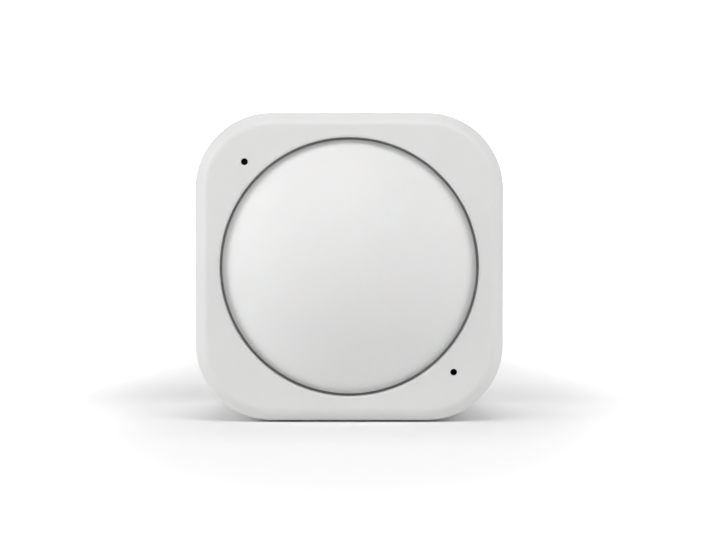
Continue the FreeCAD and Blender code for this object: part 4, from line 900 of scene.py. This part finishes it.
sleeve_finish = finish("shrink_sleeve", sleeved, {"Coat Weight": 0.25})
washer_finish = finish("washer", moulded((0.03, 0.03, 0.032), 0.6, 0.006))
for name, way, up in (("upper_cell", 1, CELL_UP), ("lower_cell", -1, -CELL_UP)):
    tip = way * CONTACT_X
    shoulder = tip - way * NUB
    foot = shoulder - way * CELL_BODY
    sunk = shoulder - way * CRIMP_DEPTH
    can = turned(name + "_can", softened((
        (0, foot, 0), (FOOT_RADIUS, foot, 0.1), (FOOT_RADIUS + 0.4, foot + way * 0.18, 0.1),
        (CAN_RADIUS, foot + way * 0.12, 0.55), (CAN_RADIUS, shoulder - way * 0.05, 0.6),
        (CRIMP_RADIUS, shoulder - way * 0.05, 0.1), (CRIMP_RADIUS - 0.2, sunk, 0.1),
        (NUB_RADIUS + 0.4, sunk, 0.15), (NUB_RADIUS, shoulder + way * 0.1, 0.1),
        (NUB_RADIUS, tip, 0.35), (0, tip, 0),
    ))[1:-1], CELL_DEPTH, up, 96, True, (True, True))
    dressed(can, "housing", cell_can_finish, 35, (name,))
    wrap = softened((
        (CELL_RADIUS - 0.9, foot + way * 0.02, 0), (CELL_RADIUS, foot + way * 0.02, 0.65),
        (CELL_RADIUS, shoulder - way * 0.02, 0.65),
        (CELL_RADIUS - 1.2, shoulder - way * 0.02, 0),
    ), 6)
    under = []
    for index, (radius, along) in enumerate(wrap):
        inwards = way if index < len(wrap) / 2 else -way
        under.append((radius - SLEEVE_WALL, along + inwards * SLEEVE_WALL))
    sleeve = turned(name + "_wrap", wrap + under[::-1], CELL_DEPTH, up, 96, True)
    dressed(sleeve, "housing", sleeve_finish, 40, (name + "_sleeve",))
    washer_front, washer_back = shoulder - way * 0.12, shoulder - way * 0.3
    washer = turned(name + "_washer", softened((
        (WASHER_INNER, washer_back, 0), (WASHER_OUTER, washer_back, 0.05),
        (WASHER_OUTER, washer_front, 0.05), (WASHER_INNER, washer_front, 0),
    ), 2), CELL_DEPTH, up, 64, True)
    dressed(washer, "housing", washer_finish, 40)
for node in ("bridge_contact", "positive_contact", "negative_contact"):
    coated(node, lead_finish)


# CONTACT SPRINGS
# Conical springs wound from nickel plated wire. Each widens towards its contact plate and
# presses on the flat end of a cell.
WIRE_RADIUS = 0.24
WIRE_SIDES = 12
COIL_STEPS = 96
COIL_TURNS = 2
COIL_WIDE = 4.2
COIL_NARROW = 2.2
COIL_START = 0.3
COIL_LENGTH = 1.5
for index, (way, up) in enumerate(((-1, CELL_UP), (1, -CELL_UP))):
    coils = []
    for step in range(COIL_STEPS + 1):
        share = step / COIL_STEPS
        turn = 2 * math.pi * COIL_TURNS * share
        radius = COIL_WIDE + (COIL_NARROW - COIL_WIDE) * share
        along = way * (CONTACT_X - COIL_START - COIL_LENGTH * share)
        rise, depth = radius * math.sin(turn), radius * math.cos(turn)
        coils.append(place(along, up + rise, CELL_DEPTH + depth))
    rings = []
    for step, point in enumerate(coils):
        ahead = coils[min(step + 1, COIL_STEPS)] - coils[max(step - 1, 0)]
        side_way = ahead.cross(Vector((1, 0, 0))).normalized()
        rise_way = side_way.cross(ahead).normalized()
        rings.append([
            point + (side_way * math.cos(a) + rise_way * math.sin(a)) * WIRE_RADIUS * MM
            for a in [2 * math.pi * k / WIRE_SIDES for k in range(WIRE_SIDES)]
        ])
    coil = skin("contact_spring_%d" % (index + 1), rings, poles=(coils[0], coils[-1]))
    dressed(coil, "housing", lead_finish, 60, ("contact_springs",))


# REAR COVER
# The white rear shell slides back off the seam. It is moulded with a boss for a brass insert,
# a slot for the lock and two rails with lips that carry the lock's plate.
BODY_DEPTH = 37.0
COVER_START = SEAM + 0.2
COVER_INSET = 1.0
LINING_START = SEAM + 1.7
REAR_WALL = BODY_DEPTH - WALL
POCKET = 4.02
POCKET_FLOOR = 32.3
POCKET_BACK = POCKET_FLOOR - 0.6
BOSS_OUTER = 5.18
SLOT_UP = 15.6
SLOT_HALF_LENGTH = 4.6
SLOT_HALF_WIDTH = 1.6
RAIL_HALF = 8.1
RAIL_FRONT = 33.0
RAIL_NEAR = 2.6
RAIL_FAR = 3.4
LIP_NEAR = 2.1
LIP_BACK = RAIL_FRONT + 0.8
outside = [square_ring(*point) for point in softened((
    (COVER_INSET, COVER_START, 0), (0, COVER_START, 0.15), (0, BODY_DEPTH - BEVEL, BEVEL_SOFT),
    (BEVEL, BODY_DEPTH, FACE_SOFT), (BEVEL + 1.0, BODY_DEPTH, 0),
))]
pocket = [round_ring(*point) for point in softened((
    (POCKET + 0.8, BODY_DEPTH, 0), (POCKET, BODY_DEPTH, 0.12), (POCKET, POCKET_FLOOR, 0.1),
    (3.0, POCKET_FLOOR, 0),
))]
boss = [round_ring(*point) for point in softened((
    (3.0, POCKET_BACK, 0), (BOSS_OUTER, POCKET_BACK, 0.2), (BOSS_OUTER, REAR_WALL, 0.1),
    (BOSS_OUTER + 0.5, REAR_WALL, 0),
))]
lining = [square_ring(*point) for point in softened((
    (WALL + 1.2, REAR_WALL, 0), (WALL, REAR_WALL, 0.5), (WALL, LINING_START, 0.1),
    (COVER_INSET, LINING_START, 0.1), (COVER_INSET, COVER_START + SEAM_PLAY, 0),
))]
rings = pocket[::-1] + between(pocket[0], outside[-1], 6) + outside[::-1]
rings += lining[::-1] + between(lining[0], boss[-1], 6) + boss[::-1]
cover = skin("cover_shell", rings, poles=(place(0, 0, POCKET_FLOOR), place(0, 0, POCKET_BACK)))
rails = []
for way in (-1, 1):
    rib_span = sorted((way * (POCKET + 0.5), way * (HALF - 0.8)))
    rib_depths = (REAR_WALL - 1.8, REAR_WALL + 0.5)
    rails.append(brick("cover_rib", *rib_span, -RIB_HALF, RIB_HALF, *rib_depths, 0.05))
    far = SLOT_UP + way * RAIL_FAR
    rail_span = sorted((SLOT_UP + way * RAIL_NEAR, far))
    lip_span = sorted((SLOT_UP + way * LIP_NEAR, far))
    lip_end = RAIL_HALF if way < 0 else -1.0
    rails += [
        brick("rail", -RAIL_HALF, RAIL_HALF, *rail_span, RAIL_FRONT, REAR_WALL + 0.3, 0.08),
        brick("lip", -RAIL_HALF, lip_end, *lip_span, RAIL_FRONT, LIP_BACK, 0.08),
    ]
joined(cover, rails, "UNION")
joined(cover, [brick(
    "lock_slot", -SLOT_HALF_LENGTH, SLOT_HALF_LENGTH, SLOT_UP - SLOT_HALF_WIDTH,
    SLOT_UP + SLOT_HALF_WIDTH, REAR_WALL - 1, BODY_DEPTH + 1.5, 0.25, 4,
)])
dressed(cover, "cover", housing_finish, 24, ("rear_cover",))


# THREADED INSERT AND FOAM PADS
# A turned brass insert with a coarse thread takes the mounting arm. Two glued foam pads press
# on the cells so that they can't rattle.
INSERT_BACK = BODY_DEPTH - 0.1
INSERT_LENGTH = 4.6
INSERT_RADIUS = 3.98
THREAD_RADIUS = 2.62
THREAD_RISE = 0.32
THREAD_TURNS = 3.5
THREAD_ROWS = 96
THREAD_STEPS = 72
CHAMFER = 0.25
MOUTH_RADIUS = THREAD_RADIUS + THREAD_RISE + CHAMFER
INSERT_ANGLES = [2 * math.pi * step / THREAD_STEPS for step in range(THREAD_STEPS)]


def thread_ring(share):
    """The bore's outline part of the way along the insert, with the thread standing into it."""
    fade = min(1.0, 10 * (1 - share), 10 * share)
    ring = []
    for angle in INSERT_ANGLES:
        phase = (share * THREAD_TURNS - angle / (2 * math.pi)) % 1.0
        radius = THREAD_RADIUS + THREAD_RISE * (1 - fade * (1 - abs(2 * phase - 1)))
        depth = INSERT_BACK - INSERT_LENGTH * (1 - share)
        ring.append(place(radius * math.cos(angle), radius * math.sin(angle), depth))
    return ring


def lathed(where):
    """Turned brass: cloudy lustre and fine rings left by the tool."""
    x, _, z = where.parts()
    cloud = where.noise(220, 3)
    radius = (x * x + (z - CENTRE) * (z - CENTRE)) ** 0.5
    marks = (radius * 26 + cloud * 2.5).math("SINE")
    return {
        "Base Color": cloud.colours((0.3, (0.60, 0.44, 0.20)), (0.7, (0.68, 0.50, 0.25))),
        "Roughness": 0.24 + cloud * 0.1,
        "Normal": marks.relief(0.006, 0.5),
    }


bore = [thread_ring(row / THREAD_ROWS) for row in range(THREAD_ROWS + 1)]
bore[-1] = [point - Vector((0, CHAMFER, 0)) * MM for point in bore[-1]]
outer = [round_ring(*point, angles=INSERT_ANGLES) for point in softened((
    (MOUTH_RADIUS, INSERT_BACK, 0), (INSERT_RADIUS, INSERT_BACK, 0.15),
    (INSERT_RADIUS, INSERT_BACK - INSERT_LENGTH, 0.15),
    (MOUTH_RADIUS, INSERT_BACK - INSERT_LENGTH, 0),
))]
insert = skin("brass_insert", bore + outer, loop=True)
brass_finish = finish("turned_brass", lathed, METALLIC)
dressed(insert, "cover", brass_finish, 30, ("thread_insert",))
FOAM_FRONT = CELL_DEPTH + CELL_RADIUS + 0.3
FOAM_HALF = 10.0
FOAM_SPAN = (5.6, 11.6)
RIPPLE = 0.12
RIPPLE_RATES = (1900, 2300)
for index, way in enumerate((-1, 1)):
    up_span = sorted(way * up for up in FOAM_SPAN)
    pad = brick(
        "foam_pad_%d" % (index + 1), -FOAM_HALF, FOAM_HALF, *up_span, FOAM_FRONT, REAR_WALL, 0.35, 4
    )
    mesh = bmesh.new()
    mesh.from_mesh(pad.data)
    for flat, low, high in (
        (Vector((1, 0, 0)), -FOAM_HALF, FOAM_HALF),
        (Vector((0, 0, 1)), CENTRE - FOAM_SPAN[1], CENTRE + FOAM_SPAN[1]),
    ):
        count = round(high - low)
        for step in range(1, count):
            bmesh.ops.bisect_plane(
                mesh, geom=mesh.verts[:] + mesh.edges[:] + mesh.faces[:],
                plane_co=flat * (low + (high - low) * step / count) * MM, plane_no=flat,
            )
    front_y = (FRONT + FOAM_FRONT) * MM
    for vert in mesh.verts:
        if vert.co.y < front_y + 0.3 * MM:
            wave = math.sin(vert.co.x * RIPPLE_RATES[0]) * math.sin(vert.co.z * RIPPLE_RATES[1])
            vert.co.y += RIPPLE * MM * (wave + 1)
    mesh.to_mesh(pad.data)
    mesh.free()
    dressed(pad, "cover", foam_finish, 60, ("foam_pads",))


# LOCK
# A white slider whose ribbed thumb pad moves in the slot of the cover. Its plate runs in the
# rails, and an arm with a foot hooks under the wall of the battery tray.
PLATE_FROM = -8.1
PLATE_TO = 5.1
PLATE_HALF = 2.5
PLATE_FRONT = 33.9
PLATE_BACK = 34.9
THUMB_FROM = -4.5
THUMB_TO = 1.5
THUMB_HALF = 1.5
THUMB_BACK = BODY_DEPTH - 0.3
GROOVE_HALF = 0.3
GROOVE_DEPTH = 0.5
GROOVE_REACH = 1.2
ARM_FRONT = 28.8
lock = brick(
    "lock_slider_plate", PLATE_FROM, PLATE_TO, SLOT_UP - PLATE_HALF, SLOT_UP + PLATE_HALF,
    PLATE_FRONT, PLATE_BACK, 0.1,
)
thumb = brick(
    "thumb", THUMB_FROM, THUMB_TO, SLOT_UP - THUMB_HALF, SLOT_UP + THUMB_HALF,
    PLATE_BACK - 0.3, THUMB_BACK, 0.3, 4,
)
arm = brick("arm", -0.8, 1.6, SLOT_UP + 1.7, SLOT_UP + 2.47, ARM_FRONT, PLATE_FRONT + 0.3, 0.1)
foot = brick(
    "foot", -3.2, -0.5, SLOT_UP + 1.73, SLOT_UP + 2.44, ARM_FRONT + 0.03, ARM_FRONT + 1, 0.1
)
joined(lock, [thumb, arm, foot], "UNION")
joined(lock, [
    brick(
        "groove", x - GROOVE_HALF, x + GROOVE_HALF, SLOT_UP - GROOVE_REACH,
        SLOT_UP + GROOVE_REACH, THUMB_BACK - GROOVE_DEPTH, THUMB_BACK + 1, 0.08,
    )
    for x in (-3.3, -2.1, -0.9, 0.3)
])
dressed(lock, "lock", housing_finish, 30, ("lock_slider",))


# STAGE
# A white table that runs up into its backdrop, soft lamps, and a long lens that looks at the
# front. The table lies a hair below the flat bottom, so that the photograph's dark line shows.
TABLE_GAP = 0.25
TABLE_FRONT = -0.6
TABLE_HALF = 1.2
BEND_START = 0.5
BEND_RADIUS = 0.3
BACKDROP_TOP = 1.2
# Near the object the table's glow is weaker, and at the object's front foot it fades out: painted
# shade around the object, over its real shadow.
GLOW_NEAR = 0.15
GLOW_FAR = 1.0
PAINTED_SHADE_SPAN = (26.0, 80.0)
DEPTH_SHARE = 0.3
BODY_MIDDLE = 3.5
FOOT_HALF = 13.0
FOOT_PAINTED_SHADE_SPAN = 30.0
SKY = 0.03


def seen_directly(where):
    """1 for what the eye, a reflection or a clear piece shows, and 0 for light that bounces."""
    rays = where.node("LightPath")
    others = ("Is Glossy Ray", "Is Transmission Ray")
    total = sum((Wire(rays.socket.node.outputs[name]) for name in others), rays)
    return total.math("MINIMUM", 1.0)


def pale(where):
    """White table, plain white to the eye far away. Near the object its glow is weaker and fades
    out at the front foot, a painted shade over the object's real shadow.
    """
    x, y, z = where.parts()
    deep = (y - BODY_MIDDLE) * DEPTH_SHARE
    away = (x * x + deep * deep) ** 0.5
    share = away.node("MapRange", {"interpolation_type": "SMOOTHSTEP"}, {
        0: away, 1: PAINTED_SHADE_SPAN[0], 2: PAINTED_SHADE_SPAN[1], 3: 0.0, 4: 1.0,
    })
    # Painted shade: in front of the object's foot the glow fades out to nothing.
    beside = (x.math("ABSOLUTE") - FOOT_HALF).math("MAXIMUM", 0.0)
    ahead = (beside * beside + (y - FRONT) * (y - FRONT)) ** 0.5
    foot = (ahead * (1 / FOOT_PAINTED_SHADE_SPAN)).math("MINIMUM", 1.0)
    near = foot.mix((0, 0, 0), (GLOW_NEAR,) * 3)
    glow = share.mix(near, (GLOW_FAR,) * 3)
    return {"Emission Color": seen_directly(where).mix((0, 0, 0), glow)}


table = bmesh.new()
sweep = [(TABLE_FRONT, 0.0), (BEND_START, 0.0)]
for degrees in range(10, 91, 10):
    angle = math.radians(degrees)
    sweep.append((
        BEND_START + BEND_RADIUS * math.sin(angle), BEND_RADIUS - BEND_RADIUS * math.cos(angle)
    ))
sweep.append((BEND_START + BEND_RADIUS, BACKDROP_TOP))
rows = [
    [table.verts.new((x, y, z - TABLE_GAP * MM)) for y, z in sweep]
    for x in (-TABLE_HALF, TABLE_HALF)
]
for i in range(len(sweep) - 1):
    table.faces.new((rows[0][i], rows[1][i], rows[1][i + 1], rows[0][i + 1]))
floor = piece("studio_table", table)
floor.data.materials.append(finish("studio_white", pale, {
    "Base Color": (0.96, 0.96, 0.96, 1), "Roughness": 0.9, "Specular IOR Level": 0.0,
    "Emission Strength": 1.0,
}))
floor.data.shade_smooth()

world = bpy.data.worlds.new("studio")
bpy.context.scene.world = world
world.use_nodes = True
sky_colour = world.node_tree.nodes["Background"].inputs["Color"]
seen = seen_directly(Wire(sky_colour))
world.node_tree.links.new(seen.mix((SKY,) * 3, (1, 1, 1)).socket, sky_colour)

for name, spot, size, power in (
    ("lamp_above_back", (0.0, 0.30, 0.70), 0.5, 0.78),
    ("lamp_behind", (0.0, 0.70, 0.35), 0.5, 0.70),
    ("lamp_left", (-0.70, -0.25, 0.25), 0.5, 2.60),
    ("lamp_right", (0.70, -0.25, 0.25), 0.5, 1.35),
    ("lamp_upper_left", (-0.40, -0.40, 0.50), 0.5, 0.47),
    ("lamp_upper_right", (0.40, -0.40, 0.50), 0.5, 1.08),
    ("lamp_close_above", (0.0, -0.18, 0.28), 0.2, 0.31),
):
    lamp = bpy.data.lights.new(name, "AREA")
    lamp.shape, lamp.size, lamp.energy = "SQUARE", size, power
    holder = bpy.data.objects.new(name, lamp)
    holder.location = spot
    aim = Vector((0, 0, CENTRE * MM)) - Vector(spot)
    holder.rotation_euler = aim.to_track_quat("-Z", "Y").to_euler()
    bpy.context.scene.collection.objects.link(holder)

SCALE = 7.03
DISTANCE = 400.0
EYE_UP = 38.0
PHOTO_WIDTH = 720
PHOTO_HEIGHT = 540
PHOTO_CENTRE = (349.2, 267.1)
FILM = 36.0
eye = bpy.data.cameras.new("eye")
eye.sensor_width = FILM
eye.lens = SCALE * DISTANCE * FILM / PHOTO_WIDTH
eye.clip_start, eye.clip_end = 0.01, 10
camera = bpy.data.objects.new("eye", eye)
aside = (PHOTO_WIDTH / 2 - PHOTO_CENTRE[0]) / SCALE
target = place(aside, (PHOTO_CENTRE[1] - PHOTO_HEIGHT / 2) / SCALE, 0)
camera.location = place(aside, EYE_UP - CENTRE, -DISTANCE)
camera.rotation_euler = (target - camera.location).to_track_quat("-Z", "Y").to_euler()
bpy.context.scene.collection.objects.link(camera)
bpy.context.scene.camera = camera
bpy.context.scene.view_settings.view_transform = "Standard"
